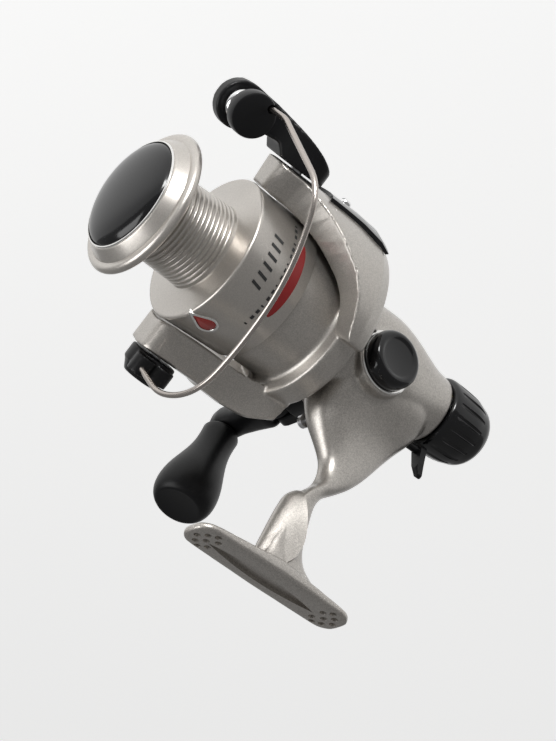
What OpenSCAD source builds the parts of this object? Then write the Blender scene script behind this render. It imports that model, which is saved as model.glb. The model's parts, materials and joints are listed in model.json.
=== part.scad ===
// Spinning reel with a fixed spool, a full bail and a rear drag.
// Frame: the origin is the middle of the rod face of the foot, +Z points into the rod,
// +X points forward along the spool axis and +Y points to the handle side.

/* [Stem and foot] */
// Distance from the rod face of the foot to the spool axis
axis_drop = 85; // [80:1:105]
// Length of the foot along the rod
foot_length = 60; // [50:1:72]
// Width of the foot across the rod
foot_width = 15; // [12.5:0.5:18]
// Thickness of the foot at the stem
foot_thick = 5; // [4:0.5:6]
// Width of the stem across the rod
stem_width = 13; // [11:0.5:15]

/* [Body] */
// Width of the gear box across its flat cheeks
body_width = 29; // [29:0.5:35]
// Wall thickness of the gear box
body_wall = 2; // [1.5:0.1:2.3]
// Radius of the round neck that enters the rotor
neck_radius = 14; // [13.5:0.5:16]

/* [Spool] */
// Radius of the front lip of the spool
lip_radius = 23.6; // [19.7:0.1:24]
// Radius of the rear flange of the spool
flange_radius = 24; // [23.4:0.1:26]
// Radius of the line arbor
arbor_radius = 13.6; // [12.5:0.1:16.5]
// Width of the line arbor between the flanges
arbor_width = 21; // [17.5:0.5:24]
// Number of line grooves on the arbor
groove_count = 13; // [6:1:18]
// Radius of the release button in the spool nose
button_radius = 17.6; // [14.5:0.1:18]

/* [Rotor] */
// Angle of the pivot arm from straight up, turning towards the handle
rotor_turn = 41; // [0:1:90]
// Distance of the bail pivots in front of the foot centre
pivot_x = 43.5; // [41:0.5:46]
// Outer radius of the rotor arms
arm_radius = 34; // [32.5:0.5:36]
// Width of an arm at its rounded tip
arm_width = 16; // [15:0.5:18]
// Diameter of the bail wire
wire_dia = 1.8; // [1.4:0.1:2.4]

/* [Drive] */
// Diameter of the main shaft
shaft_dia = 5; // [4:0.1:5.4]
// Diameter of the drive shaft that carries the handle
drive_dia = 7; // [6:0.1:7.6]
// Number of teeth on the drive gear
drive_teeth = 41; // [30:1:48]
// Number of teeth on the pinion
pinion_teeth = 8; // [7:1:10]
// Teeth on the small gear beside the drive gear
transfer_teeth = 12; // [12:1:13]
// Teeth on the oscillation gear
oscillation_teeth = 20; // [19:1:21]
// Radius of the oscillation pin circle
stroke_radius = 6; // [5:0.25:6.25]

/* [Handle] */
// Distance from the reel centre to the fold hinge
fold_y = 31; // [31:0.5:36]
// Length of the crank arm from the fold hinge to the knob spindle
crank_length = 26; // [24:0.5:40]
// Length of the handle knob
knob_length = 32; // [28:1:40]

/* [Rear drag] */
// Radius of the drag knob
drag_radius = 12.2; // [12:0.1:14]
// Length of the drag knob
drag_length = 20; // [18:0.5:26]

/* [Fits] */
// Radial running clearance of shafts and pins
run_fit = 0.05; // [0.02:0.01:0.09]
// Radial clearance of pieces that are fastened together
seat_fit = 0.02; // [0.01:0.01:0.05]
// Gap between separate moving pieces
gap = 0.4; // [0.3:0.05:0.6]

/* [Hidden] */
$fn = 64;

shaft_r = shaft_dia / 2;
drive_r = drive_dia / 2;
wire_r = wire_dia / 2;

// Spool stations along the axis
flange_x = 51.9;
arbor_front = flange_x + 0.7 + arbor_width;
lip_x = arbor_front + 2.6;
nose_x = lip_x + 5;
skirt_rear = 28.6;
skirt_radius = flange_radius - 0.9;
skirt_inner = skirt_radius - 0.75;
recess_x = lip_x - 1;

// Rotor stations along the axis
ring_rear = 5;
ring_front = 14;
drum_radius = skirt_inner - gap;
drum_front = 37.4;
arm_inner = flange_radius + 0.6;
arm_front = pivot_x + arm_width / 2;

// Gear box
cheek = body_width / 2;
body_radius = 17;
rim_radius = 10;
stem_rear = 3;
stem_split = 31;
split_y = 3;
neck_front = 13.9;
drive_x = -11.5;
drive_rise = shaft_r + drive_r + 0.6;
pinion_tip = 4.5;
pinion_body = 5;
nose_r = 4;
bearing_r = 9.5;
bearing_x = 8.4;
bearing_w = 5;
gear_face_y = pinion_tip + 0.25;
gear_r = 14;
gear_web = 3;
tooth_module = 0.8;
transfer_r = transfer_teeth * tooth_module / 2;
oscillation_r = oscillation_teeth * tooth_module / 2;
oscillation_turn = 30;
oscillation_reach = transfer_r + oscillation_r + 2 * tooth_module + 0.3;
oscillation_x = drive_x - oscillation_reach * cos(oscillation_turn);
oscillation_z = drive_rise - oscillation_reach * sin(oscillation_turn);
oscillation_y = -5.2;
oscillation_w = 2.2;
slider_w = 5;
rest_share = 4 / 6;
slot_x = oscillation_x + stroke_radius * rest_share;
slot_pin_r = 1.2;
bar_r = 1.2;
bar_z = -7.2;

// Rear drag
drag_front = -37.5;
drag_rim = -43;
washer_r = 8;
washer_t = 0.8;
sleeve_r = 4.2;
knob_front = drag_rim - gap;
knob_rear = knob_front - drag_length;

// Bail
roller_x = 69;
roller_a = -39.5;
roller_r = 5.2;
roller_w = 6;
cap_r = 7;
lever_in = arm_radius + gap;

// Handle
hub_r = 6;
knob_lean = 15;

// ---------- helpers ----------
function arc(cx, cy, r, a0, a1, n) =
    [for (i = [0 : n]) [cx + r * cos(a0 + (a1 - a0) * i / n), cy + r * sin(a0 + (a1 - a0) * i / n)]];
function bend(p, q, r, s, n) =
    [for (i = [0 : n]) let (t = i / n, u = 1 - t)
        u * u * u * p + 3 * u * u * t * q + 3 * u * t * t * r + t * t * t * s];

module on_axis() {
    translate([0, 0, -axis_drop]) children();
}
module along_x() {
    rotate([0, 90, 0]) children();
}
// A solid of revolution about the spool axis from points [radius, x]
module turned(points) {
    on_axis() along_x() rotate_extrude($fn = 96) polygon(points);
}
// Local frame of the rotor: z points along the pivot arm
module rotor_frame() {
    on_axis() rotate([-rotor_turn, 0, 0]) children();
}
// A rod along +X from x0 to x1
module rod_x(r, x0, x1) {
    translate([x0, 0, 0]) along_x() cylinder(r = r, h = x1 - x0);
}
// A rod along +Y from y0 to y1
module rod_y(r, y0, y1) {
    translate([0, y0, 0]) rotate([-90, 0, 0]) cylinder(r = r, h = y1 - y0);
}
module drive_frame() {
    translate([drive_x, 0, drive_rise - axis_drop]) children();
}
module ring_x(r_out, r_in, x0, x1) {
    difference() {
        rod_x(r_out, x0, x1);
        rod_x(r_in, x0 - 1, x1 + 1);
    }
}
// Spur teeth outline
module gear_outline(teeth, tip, depth) {
    circle(r = tip - depth);
    for (i = [0 : teeth - 1]) {
        rotate(i * 360 / teeth) translate([tip - depth - 0.3, 0])
            polygon([[0, -0.85], [depth + 0.3, -0.4], [depth + 0.3, 0.4], [0, 0.85]]);
    }
}
module slab_y(y0, y1) {
    translate([0, y1, 0]) rotate([90, 0, 0]) linear_extrude(y1 - y0) children();
}

// ---------- body ----------
// Round shell about the spool axis, as points [radius, x]
module body_round() {
    along_x() rotate_extrude($fn = 96) polygon(concat(
        [[0, 1.5], [body_radius, 1.5]],
        bend([body_radius, -6], [body_radius - 0.4, -22], [body_radius - 4.6, -30], [rim_radius, drag_rim], 10),
        [[0, drag_rim]]
    ));
}
// Side view of the part of the gear box that rises towards the stem, in x and z
module shoulder_side() {
    polygon(concat(
        [[drag_rim, 0]],
        bend([drag_rim, rim_radius], [-42, 15], [-38, 18], [-33.5, 23.5], 6),
        bend([-33.5, 23.5], [-28, 33], [-20, 43], [-9, 52.6], 8),
        [[-3.4, 52.6]],
        bend([-3.4, 52.6], [-8, 46], [-9.8, 40], [-7.4, 33], 6),
        bend([-7.4, 33], [-4, 30], [1, 28], [1.5, 20], 5),
        [[1.5, 0]]
    ));
}
module shoulder() {
    intersection() {
        slab_y(-cheek, cheek) shoulder_side();
        rotate([90, 0, 90]) translate([0, 0, -50]) linear_extrude(60) polygon(concat(
            [[-cheek, 0]],
            bend([-cheek, 8], [-cheek, 20], [-stem_rear, 26], [-stem_rear, 40], 8),
            [[-stem_rear, 60], [stem_rear, 60]],
            bend([stem_rear, 40], [stem_rear, 26], [cheek, 20], [cheek, 8], 8),
            [[cheek, 0]]
        ));
        linear_extrude(60) polygon(concat(
            [[2, -cheek]], bend([-14, -cheek], [-26, -cheek], [-36, -rim_radius], [drag_rim, -rim_radius], 6),
            bend([drag_rim, rim_radius], [-36, rim_radius], [-26, cheek], [-14, cheek], 6), [[2, cheek]]
        ));
    }
}
module body_envelope() {
    intersection() {
        union() {
            body_round();
            shoulder();
        }
        translate([-60, -cheek, -40]) cube([80, body_width, 120]);
    }
}
module stem() {
    foot_z = axis_drop - foot_thick + 0.4;
    on_axis() intersection() {
        slab_y(-stem_width / 2, stem_width / 2) polygon(concat(
            bend([-9, 50], [-8.4, 62], [-9.4, foot_z - 6], [-18, foot_z], 8),
            [[7, foot_z]],
            bend([5, foot_z - 5], [3, foot_z - 13], [0, 54], [-3.4, 50], 6)
        ));
        linear_extrude(axis_drop) polygon(concat(
            bend([10, stem_width / 2], [-2, stem_width / 2], [-8, 4], [-12, stem_rear], 6),
            [[-26, stem_rear], [-26, -stem_rear]],
            bend([-12, -stem_rear], [-8, -4], [-2, -stem_width / 2], [10, -stem_width / 2], 6)
        ));
    }
}
module foot_plan() {
    half = foot_length / 2;
    side = foot_width / 2;
    polygon(concat(
        bend([half - 9, -side], [half - 1, -side], [half + 0.3, -side / 2], [half, 0], 6),
        bend([half, 0], [half + 0.3, side / 2], [half - 1, side], [half - 9, side], 6),
        [[-half + 4, side], [-half + 0.6, side - 2.4], [-half, 0]],
        [[-half + 0.6, -side + 2.4], [-half + 4, -side]]
    ));
}
module foot() {
    half = foot_length / 2;
    translate([0, 0, -axis_drop]) intersection() {
        translate([0, 0, axis_drop - foot_thick]) linear_extrude(foot_thick) foot_plan();
        slab_y(-foot_width, foot_width) polygon([
            [-half, axis_drop], [half, axis_drop], [half, axis_drop - 1.6],
            [8, axis_drop - foot_thick], [-20, axis_drop - foot_thick], [-half, axis_drop - 3]
        ]);
    }
}
// Shallow moulded recess along the middle of the rod face
module foot_recess() {
    translate([0, 0, -1.2]) linear_extrude(2) polygon(concat(
        bend([22, 0], [12, 3.4], [-10, 3.4], [-20, 0], 8),
        bend([-20, 0], [-10, -3.4], [12, -3.4], [22, 0], 8)
    ));
}
module foot_dimples() {
    for (end = [-1, 1]) {
        for (row = [0 : 2]) {
            for (side = [-1 : 1]) {
                translate([end * (foot_length / 2 - 3.2 - 3.4 * row) + (end < 0 ? 1.5 : 0),
                    side * (2.2 + 0.9 * row), -0.7]) cylinder(r = 0.9, h = 2, $fn = 24);
            }
        }
    }
}
// Room for the gears between the two cheeks
module gear_room() {
    inner = cheek - body_wall;
    on_axis() {
        intersection() {
            difference() {
                translate([-45, -inner, -20]) cube([60, 2 * inner, 50]);
                translate([screw_spots[0][0], 0, screw_spots[0][1]]) rod_y(2.3, -20, 20);
            }
            union() {
                translate([drive_x, 0, drive_rise]) rod_y(gear_r + 0.7, -inner, inner);
                translate([oscillation_x, 0, oscillation_z])
                    rod_y(oscillation_r + 1.3, -inner, inner);
                translate([-34, -9, -11]) cube([34, 18, 20]);
            }
            union() {
                along_x() rotate_extrude($fn = 96) polygon([
                    [0, 0], [body_radius - body_wall, 0], [body_radius - body_wall, -10],
                    [body_radius - body_wall - 0.6, -18], [body_radius - body_wall - 1.6, -24],
                    [body_radius - body_wall - 4.2, -31],
                    [body_radius - body_wall - 5.4, -34], [0, -34]
                ]);
                translate([-27.6, -inner, 0]) cube([28, 2 * inner, 8]);
            }
        }
        translate([drive_x, 0, drive_rise]) rod_y(gear_r + 0.5, gear_face_y - 0.3, gear_face_y + gear_web + 1.4);
        translate([drive_x, 0, drive_rise]) rod_y(drive_r + gap, -cheek + 1, cheek - 1);
        translate([drive_x, 0, drive_rise]) rod_y(drive_r + 2.2 + gap, 0, cheek - 3.4);
        rod_x(pinion_tip + 1, -4, 8);
        rod_x(washer_r + gap, drag_rim - 1, drag_front);
        rod_x(shaft_r + 0.5, drag_rim - 1, 8);
        rod_x(sleeve_r + gap, drag_rim - 1, -33);
        rod_x(bearing_r + seat_fit, bearing_x, neck_front + 1);
        rod_x(bearing_r - 2, 0, bearing_x + 1);
    }
}
screw_spots = [[-3.2, -12.4], [-36.2, -7.4], [-31, 16], [-4, 25.4]];
screw_depth = 5;
module lever_hole() {
    on_axis() translate([0, 0, lever_z]) rod_x(1.3 + run_fit, -50, -35.6);
}
module housing() {
    color("silver") difference() {
        union() {
            difference() {
                on_axis() body_envelope();
                translate([-60, split_y, -axis_drop - 40]) cube([61.5, 40, 80]);
            }
            on_axis() rod_x(neck_radius, 0, neck_front);
            stem();
            foot();
            intersection() {
                on_axis() body_envelope();
                translate([-40, -20, stem_split - axis_drop]) cube([60, 40, 60]);
            }
            drive_frame() rod_y(8.2, -cheek - 0.9, -cheek + 2);
        }
        gear_room();
        drive_frame() rod_y(6 + seat_fit, -cheek - 2, -cheek + 3.4);
        foot_recess();
        foot_dimples();
        on_axis() for (p = screw_spots) {
            translate([p[0], 0, p[1]]) rod_y(0.9, split_y - screw_depth - 1, split_y + 1);
        }
        on_axis() translate([0, 0, bar_z]) rod_x(bar_r + seat_fit, -35.2, -1.6);
        on_axis() plate_holes(0.7, 8, 16);
        lever_hole();
    }
}
module side_cover() {
    color("silver") difference() {
        on_axis() intersection() {
            body_envelope();
            translate([-60, split_y + seat_fit, -40]) cube([61.4, 40, 40 + stem_split - seat_fit]);
        }
        gear_room();
        on_axis() rod_x(neck_radius + seat_fit, -0.02, neck_front + 2);
        drive_frame() rod_y(6 + seat_fit, cheek - 3.4, cheek + 2);
        on_axis() for (p = screw_spots) {
            translate([p[0], 0, p[1]]) {
                rod_y(1.2, split_y - 1, 30);
                rod_y(2.3, screw_seat(p), 30);
            }
        }
        lever_hole();
    }
}
function screw_seat(p) = p[0] < -20 ? 5.6 : 6.6;
module cover_screws() {
    color("lightgray") on_axis() for (p = screw_spots) {
        translate([p[0], 0, p[1]]) {
            rod_y(0.9 - seat_fit, split_y - screw_depth, screw_seat(p) + 0.5);
            difference() {
                rod_y(2.1, screw_seat(p) + seat_fit, screw_seat(p) + 1.6);
                translate([-2.5, screw_seat(p) + 1.1, -0.3]) cube([5, 2, 0.6]);
            }
        }
    }
}
module dust_cap() {
    color("black") drive_frame() rotate([90, 0, 0]) rotate_extrude() polygon(concat(
        [[0, cheek + 0.4], [5.9, cheek + 0.4], [5.9, cheek + 0.92], [8.1, cheek + 0.92]],
        arc(6.9, cheek + 4.6, 1.2, 0, 90, 6), [[0, cheek + 6.2]]
    ));
}
module drive_bushes() {
    color("ivory") drive_frame() for (s = [-1, 1]) {
        difference() {
            rod_y(6, s > 0 ? cheek - 3.4 + seat_fit : -cheek + 0.2,
                s > 0 ? cheek - 0.4 : -cheek + 3.4 - seat_fit);
            rod_y(drive_r + run_fit, -cheek - 3, cheek + 3);
        }
    }
}
module bearing_outer() {
    color("lightgray") on_axis() difference() {
        rod_x(bearing_r, bearing_x + seat_fit, bearing_x + bearing_w);
        rod_x(bearing_r - 1.1, bearing_x - 1, bearing_x + bearing_w + 1);
        translate([bearing_x + bearing_w / 2, 0, 0]) along_x()
            rotate_extrude() translate([ball_circle, 0]) circle(r = ball_r + run_fit, $fn = 32);
    }
}
ball_r = 1.2;
ball_circle = (bearing_r + pinion_body) / 2 + 0.05;
module bearing_balls() {
    color("white") on_axis() for (i = [0 : 8]) {
        rotate([i * 40, 0, 0]) translate([bearing_x + bearing_w / 2, 0, ball_circle])
            sphere(r = ball_r, $fn = 24);
    }
}
module bearing_inner() {
    color("lightgray") on_axis() difference() {
        rod_x(pinion_body + 1.1, bearing_x + seat_fit, bearing_x + bearing_w);
        rod_x(pinion_body + seat_fit, bearing_x - 1, bearing_x + bearing_w + 1);
        translate([bearing_x + bearing_w / 2, 0, 0]) along_x()
            rotate_extrude() translate([ball_circle, 0]) circle(r = ball_r + run_fit, $fn = 32);
    }
}
module plate_holes(r, x0, x1) {
    for (i = [0 : 2]) {
        rotate([i * 120 + 20, 0, 0]) translate([0, 0, 11.6]) rod_x(r, x0, x1);
    }
}
plate_x = neck_front + seat_fit;
module bearing_plate() {
    color("gray") on_axis() difference() {
        rod_x(neck_radius - 0.4, plate_x, plate_x + 0.9);
        rod_x(pinion_body + 1.6, 10, 20);
        plate_holes(0.85, 5, 20);
        translate([0, pawl_y, pawl_z]) rod_x(0.8 + seat_fit, 10, 20);
    }
}
module plate_screws() {
    color("lightgray") on_axis() {
        plate_holes(0.68, 8, plate_x + 1.2);
        plate_holes(1.35, plate_x + 0.9 + seat_fit, plate_x + 1.7);
    }
}
module guide_bar() {
    color("lightgray") on_axis() translate([0, 0, bar_z]) rod_x(bar_r, -35, -1.8);
}
// Fixed ramp beside the neck that trips the bail lever as the rotor turns
module trip_ramp() {
    color("dimgray") on_axis() rotate([150, 0, 0]) intersection() {
        ring_x(neck_radius + 2.2, neck_radius + seat_fit, 6, 9.4);
        translate([0, -6, 0]) cube([20, 12, 30]);
    }
}

// ---------- anti-reverse ----------
lever_z = 15.2;
lever_back = drag_rim + 0.7;
module anti_reverse_lever() {
    color("black") on_axis() translate([0, 0, lever_z]) difference() {
        union() {
            rod_x(1.3, lever_back - 0.5, -36);
            hull() {
                rod_x(2.2, lever_back - 2.2, lever_back);
                translate([0, -0.8, 5]) rod_x(1.6, lever_back - 2.2, lever_back);
            }
            hull() {
                translate([0, -0.8, 5]) rod_x(1.6, lever_back - 2.2, lever_back);
                translate([0, -1.2, 8.4]) rod_x(1, lever_back - 2.6, lever_back - 1);
            }
        }
        rod_x(0.5, lever_back - 5, lever_back + 3);
    }
}
module lever_screw() {
    color("lightgray") on_axis() translate([0, 0, lever_z]) {
        rod_x(0.48, lever_back - 2.6, lever_back + 2);
        rod_x(1.2, lever_back - 3, lever_back - 2.2 - seat_fit);
    }
}
pawl_y = 6.3;
pawl_z = -9.6;
pawl_x = plate_x + 0.9 + gap;
module pawl() {
    color("gray") on_axis() difference() {
        hull() {
            translate([0, pawl_y, pawl_z]) rod_x(1.8, pawl_x, pawl_x + 1.8);
            translate([0, pawl_y - 4.6, pawl_z - 0.6]) rod_x(0.7, pawl_x, pawl_x + 1.8);
        }
        translate([0, pawl_y, pawl_z]) rod_x(0.8 + run_fit, 10, 20);
    }
}
module pawl_pin() {
    color("lightgray") on_axis() translate([0, pawl_y, pawl_z]) {
        rod_x(0.8, plate_x, pawl_x + 1.8 + 0.1);
        rod_x(1.3, pawl_x + 1.8 + 0.1, pawl_x + 1.8 + 0.7);
    }
}

// ---------- rotor ----------
module arm_shape(outer, flare) {
    intersection() {
        along_x() rotate_extrude($fn = 96) polygon([
            [arm_inner, ring_rear + 4], [arm_inner, 60], [outer, 60], [outer + 0.6, 20],
            [outer - 0.6, ring_rear + 6], [outer - 3.4, ring_rear + 0.6], [arm_inner, ring_rear - 1]
        ]);
        linear_extrude(60) polygon(concat(
            [[ring_rear - 4, -flare], [ring_rear + 3, -flare]],
            bend([ring_rear + 3, -flare], [16, -flare * 0.8], [18, -arm_width / 2], [30, -arm_width / 2], 8),
            arc(pivot_x, 0, arm_width / 2, -90, 90, 16),
            bend([30, arm_width / 2], [18, arm_width / 2], [16, flare * 0.8], [ring_rear + 3, flare], 8),
            [[ring_rear - 4, flare]]
        ));
    }
}
pocket_r = 5.4;
module rotor() {
    color("silver") rotor_frame() difference() {
        union() {
            along_x() rotate_extrude($fn = 96) polygon([
                [nose_r + seat_fit, 19.6], [9, 19.6], [9, 22.4], [drum_radius - 1.3, 22.4],
                [drum_radius - 1.3, 9], [neck_radius + 3.2, 9], [neck_radius + 3.2, ring_rear],
                [arm_inner + 1.4, ring_rear], [arm_inner + 2, ring_rear + 2],
                [arm_inner + 2, ring_front - 1.6], [arm_inner + 1.2, ring_front - 0.4],
                [drum_radius + 0.6, ring_front], [drum_radius, ring_front + 0.4],
                [drum_radius, drum_front], [drum_radius - 1.3, drum_front],
                [drum_radius - 1.3, 25], [nose_r + seat_fit, 25]
            ]);
            arm_shape(arm_radius + 0.6, 13);
            mirror([0, 0, 1]) arm_shape(arm_radius, 24.5);
        }
        // Roller arm: flat outer seat, pocket for the spring and the trip lever
        translate([6, -30, -arm_radius - 5]) cube([60, 60, 5.2]);
        translate([pivot_x, 0, -arm_radius]) cylinder(r = pocket_r + 0.3, h = 4);
        translate([14, -4.5, -arm_radius]) cube([pivot_x - 14, 9, 4]);
        // Pivot arm: flat outer seat
        translate([pivot_x - 9, -20, arm_radius]) cube([30, 40, 6]);
        // Stud holes and the cover screw hole
        translate([pivot_x, 0, -40]) cylinder(r = 2 + seat_fit, h = 80);
        translate([20, 7, -40]) cylinder(r = 0.8, h = 12);
    }
}
module rotor_nut() {
    color("lightgray") rotor_frame() difference() {
        translate([25.5 + 2 * seat_fit, 0, 0]) along_x() cylinder(r = 7.4, h = 4.4, $fn = 6);
        rod_x(nose_r + seat_fit, 20, 40);
    }
}
module rotor_washer() {
    color("lightgray") rotor_frame() ring_x(7.6, nose_r + seat_fit, 25 + seat_fit, 25.5 + seat_fit);
}
module pinion() {
    color("goldenrod") on_axis() difference() {
        union() {
            translate([-2, 0, 0]) along_x() linear_extrude(9)
                gear_outline(pinion_teeth, pinion_tip, 1.2);
            rod_x(pinion_body, 7, pawl_x - seat_fit);
            rod_x(nose_r, 15, 32);
        }
        rod_x(shaft_r + run_fit, -5, 40);
    }
}
module ratchet_wheel() {
    color("gray") on_axis() difference() {
        translate([pawl_x, 0, 0]) along_x() linear_extrude(1.8) difference() {
            circle(r = 8.3);
            for (i = [0 : 11]) {
                rotate(i * 30) translate([6.8, 0]) polygon([[0, 0], [2.4, 0], [1.3, 3.2]]);
            }
        }
        rod_x(nose_r + seat_fit, 10, 20);
    }
}
module arm_cover() {
    color("black") rotor_frame() difference() {
        translate([0, 0, -arm_radius - 1.4]) linear_extrude(1.58) polygon(concat(
            [[8, -13]], bend([8, -13], [18, -11], [22, -7.6], [33, -7.4], 6),
            [[33.4, 7.4]], bend([33, 7.4], [22, 7.6], [18, 11], [8, 13], 6)
        ));
        translate([20, 7, -40]) cylinder(r = 1, h = 12);
        translate([pivot_x, 0, -40]) cylinder(r = 10.1, h = 12);
    }
}
module arm_cover_screw() {
    color("lightgray") rotor_frame() translate([20, 7, 0]) {
        translate([0, 0, -arm_radius - 1.5]) cylinder(r = 0.78, h = 6);
        translate([0, 0, -arm_radius - 2.5]) cylinder(r1 = 1.5, r2 = 2, h = 1.08);
    }
}
module pivot_studs() {
    color("lightgray") rotor_frame() {
        translate([pivot_x, 0, arm_inner + 0.7]) cylinder(r = 2, h = arm_radius + 6 - arm_inner);
        translate([pivot_x, 0, -arm_radius - 6.6]) cylinder(r = 2, h = arm_radius + 6 - arm_inner);
    }
}
module bail_spring() {
    color("lightgray") rotor_frame() translate([pivot_x, 0, -arm_radius + 1.2]) {
        rotate_extrude() translate([3.4, 0]) circle(r = 0.4, $fn = 16);
        translate([0, 0, 1.1]) rotate_extrude() translate([3.4, 0]) circle(r = 0.4, $fn = 16);
        translate([-3.4, 0, 0.1]) cylinder(r = 0.35, h = 0.9, $fn = 16);
    }
}
module trip_lever() {
    color("dimgray") rotor_frame() {
        translate([17, -1.6, -arm_radius + 0.6]) cube([20, 3.2, 2.6]);
    }
}

// ---------- bail ----------
module bail_lever() {
    color("black") rotor_frame() difference() {
        union() {
            translate([pivot_x, 0, -lever_in - 6.2]) cylinder(r = 8.4, h = 6.2);
            hull() {
                translate([pivot_x, 0, -lever_in - 8.4]) cylinder(r1 = 5.5, r2 = 7.6, h = 6, $fn = 32);
                translate([roller_x - 7, 5, roller_a - 5.2]) cylinder(r = 4.2, h = 7, $fn = 32);
            }
            translate([roller_x, roller_w / 2 + gap / 2, roller_a]) rod_y(cap_r + 0.4, 0, 4.4);
            hull() {
                translate([roller_x - 7, 5, roller_a - 5.2]) cylinder(r = 4.2, h = 7, $fn = 32);
                translate([roller_x, roller_w / 2 + gap / 2, roller_a - 1]) rod_y(6, 0.2, 4.2);
            }
        }
        translate([pivot_x, 0, -60]) cylinder(r = 2 + run_fit, h = 40);
        translate([pivot_x, 0, -lever_in - 12]) cylinder(r = 3.4, h = 6.4);
        translate([roller_x, -cap_r, roller_a]) rod_y(cap_r + 0.8, 0, cap_r + roller_w / 2 + gap / 2);
        translate([roller_x, 0, roller_a]) rod_y(1.5 + seat_fit, 0, 20);
        translate([roller_x, 0, roller_a]) rod_y(3, roller_w / 2 + gap / 2 + 4.4, 20);
    }
}
module roller_cap() {
    color("black") difference() {
        rotor_frame() translate([roller_x, 0, roller_a]) difference() {
            rotate([90, 0, 0]) translate([0, 0, roller_w / 2 + gap / 2]) rotate_extrude() polygon(concat(
                [[0, 0], [cap_r, 0]], arc(cap_r - 1.6, 3.4, 1.6, 0, 90, 5), [[0, 5]]
            ));
            rod_y(1.5 + seat_fit, -20, 0);
        }
        wire_sockets();
    }
}
module roller_screw() {
    color("lightgray") rotor_frame() translate([roller_x, 0, roller_a]) {
        rod_y(1.5, -roller_w / 2 - 3, roller_w / 2 + gap / 2 + 4.6);
        rod_y(2.6, roller_w / 2 + gap / 2 + 4.4 + seat_fit, roller_w / 2 + gap / 2 + 5.4);
    }
}
module line_roller() {
    color("gray") rotor_frame() translate([roller_x, 0, roller_a]) rotate([90, 0, 0])
        rotate_extrude() polygon([
            [1.5 + run_fit, -roller_w / 2], [roller_r, -roller_w / 2], [roller_r, -1.9],
            [roller_r - 1.5, -0.5], [roller_r - 1.5, 0.5], [roller_r, 1.9],
            [roller_r, roller_w / 2], [1.5 + run_fit, roller_w / 2]
        ]);
}
// The wire is a chain of straight runs and round bends in one tilted plane:
// [length, 0] is a run and [bend radius, angle] a bend to the right
wire_bends = [
    [7.4, 0], [10, 20], [22, 0], [15, 52], [60, 30], [110, 12], [28, 50], [18, 27], [11, 0]
];
wire_steps = [for (b = wire_bends) for (i = [1 : max(1, ceil(b[1] / 4))])
    let (n = max(1, ceil(b[1] / 4))) b[1] == 0 ? b : [2 * b[0] * sin(b[1] / n / 2), b[1] / n]];
function wire_walk(i, p, h) = i == len(wire_steps) ? [[p, h]] : let (s = wire_steps[i])
    concat([[p, h]], wire_walk(i + 1, p + s[0] * [sin(h + s[1] / 2), cos(h + s[1] / 2)], h + s[1]));
wire_stations = wire_walk(0, [0, 0], 0);
wire_end = wire_stations[len(wire_stations) - 1];
module wire_place() {
    rotor_frame() translate([66, -7, -44]) rotate([0, -11.7, 0]) rotate([0, 0, -9.3])
        rotate(180, v = [1, 0, 1]) children();
}
module wire_sockets() {
    wire_place() {
        rod_y(wire_r + seat_fit, -0.02, wire_bends[0][0]);
        translate([wire_end[0][0], wire_end[0][1], 0]) rotate([0, 0, -wire_end[1]])
            rod_y(wire_r + seat_fit, -wire_bends[8][0], 0.02);
    }
}
module bail_wire() {
    sides = 20;
    last = len(wire_stations) - 1;
    color("lightgray") wire_place() polyhedron(
        points = [for (w = wire_stations) for (j = [0 : sides - 1]) let (t = j * 360 / sides, c = wire_r * cos(t))
            [w[0][0] + c * cos(w[1]), w[0][1] - c * sin(w[1]), wire_r * sin(t)]],
        faces = concat(
            [[for (j = [sides - 1 : -1 : 0]) j], [for (j = [0 : sides - 1]) last * sides + j]],
            [for (i = [0 : last - 1]) for (j = [0 : sides - 1]) let (k = (j + 1) % sides)
                [i * sides + j, i * sides + k, (i + 1) * sides + k, (i + 1) * sides + j]]
        )
    );
}
module pivot_block() {
    color("black") difference() {
        rotor_frame() difference() {
            union() {
                translate([pivot_x, 0, lever_in]) cylinder(r = 7.7, h = 5.2);
                translate([pivot_x, 0, lever_in + 5.2]) cylinder(r1 = 7.7, r2 = 5.6, h = 3.4);
                hull() {
                    translate([pivot_x, 0, lever_in + 2]) cylinder(r = 5, h = 5, $fn = 32);
                    translate([pivot_x + 5, -7, lever_in + 2]) cylinder(r = 3, h = 5, $fn = 32);
                }
            }
            translate([pivot_x, 0, 20]) cylinder(r = 2 + run_fit, h = 40);
            translate([pivot_x, 0, lever_in + 6.2]) cylinder(r = 3.4, h = 6);
        }
        wire_sockets();
    }
}
module pivot_screws() {
    color("lightgray") rotor_frame() {
        translate([pivot_x, 0, lever_in + 6.2 + gap / 2]) cylinder(r = 3.2, h = 1.4);
        translate([pivot_x, 0, -lever_in - 7.4 - gap / 2]) cylinder(r = 3.2, h = 1.4);
    }
}

// ---------- carriage and spool ----------
slider_y = 4;
slider_low = -8.9;
slider_top = 7.8;
module slider() {
    color("tan") on_axis() difference() {
        translate([slot_x - slider_w / 2, -slider_y, slider_low]) cube([slider_w, 2 * slider_y, slider_top - slider_low]);
        rod_x(shaft_r + run_fit, -60, 0);
        translate([0, 0, bar_z]) rod_x(bar_r + run_fit, -60, 0);
        translate([slot_x - slot_pin_r - run_fit, -slider_y - 1, oscillation_z - stroke_radius - slot_pin_r - 0.2])
            cube([2 * (slot_pin_r + run_fit), 2.2, 2 * (stroke_radius + slot_pin_r + 0.2)]);
    }
}
shaft_rear = drag_rim + 1;
module main_shaft() {
    color("lightgray") on_axis() difference() {
        union() {
            rod_x(shaft_r, shaft_rear, recess_x + 2.5);
            translate([recess_x + 2.5, 0, 0]) along_x() cylinder(r1 = shaft_r, r2 = shaft_r - 0.4, h = 0.4);
        }
        ring_x(shaft_r + 1, shaft_r - 0.5, recess_x + 1, recess_x + 2.2);
        for (x = clip_stations()) {
            ring_x(shaft_r + 1, shaft_r - 0.5, x, x + 0.8);
        }
    }
}
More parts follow.
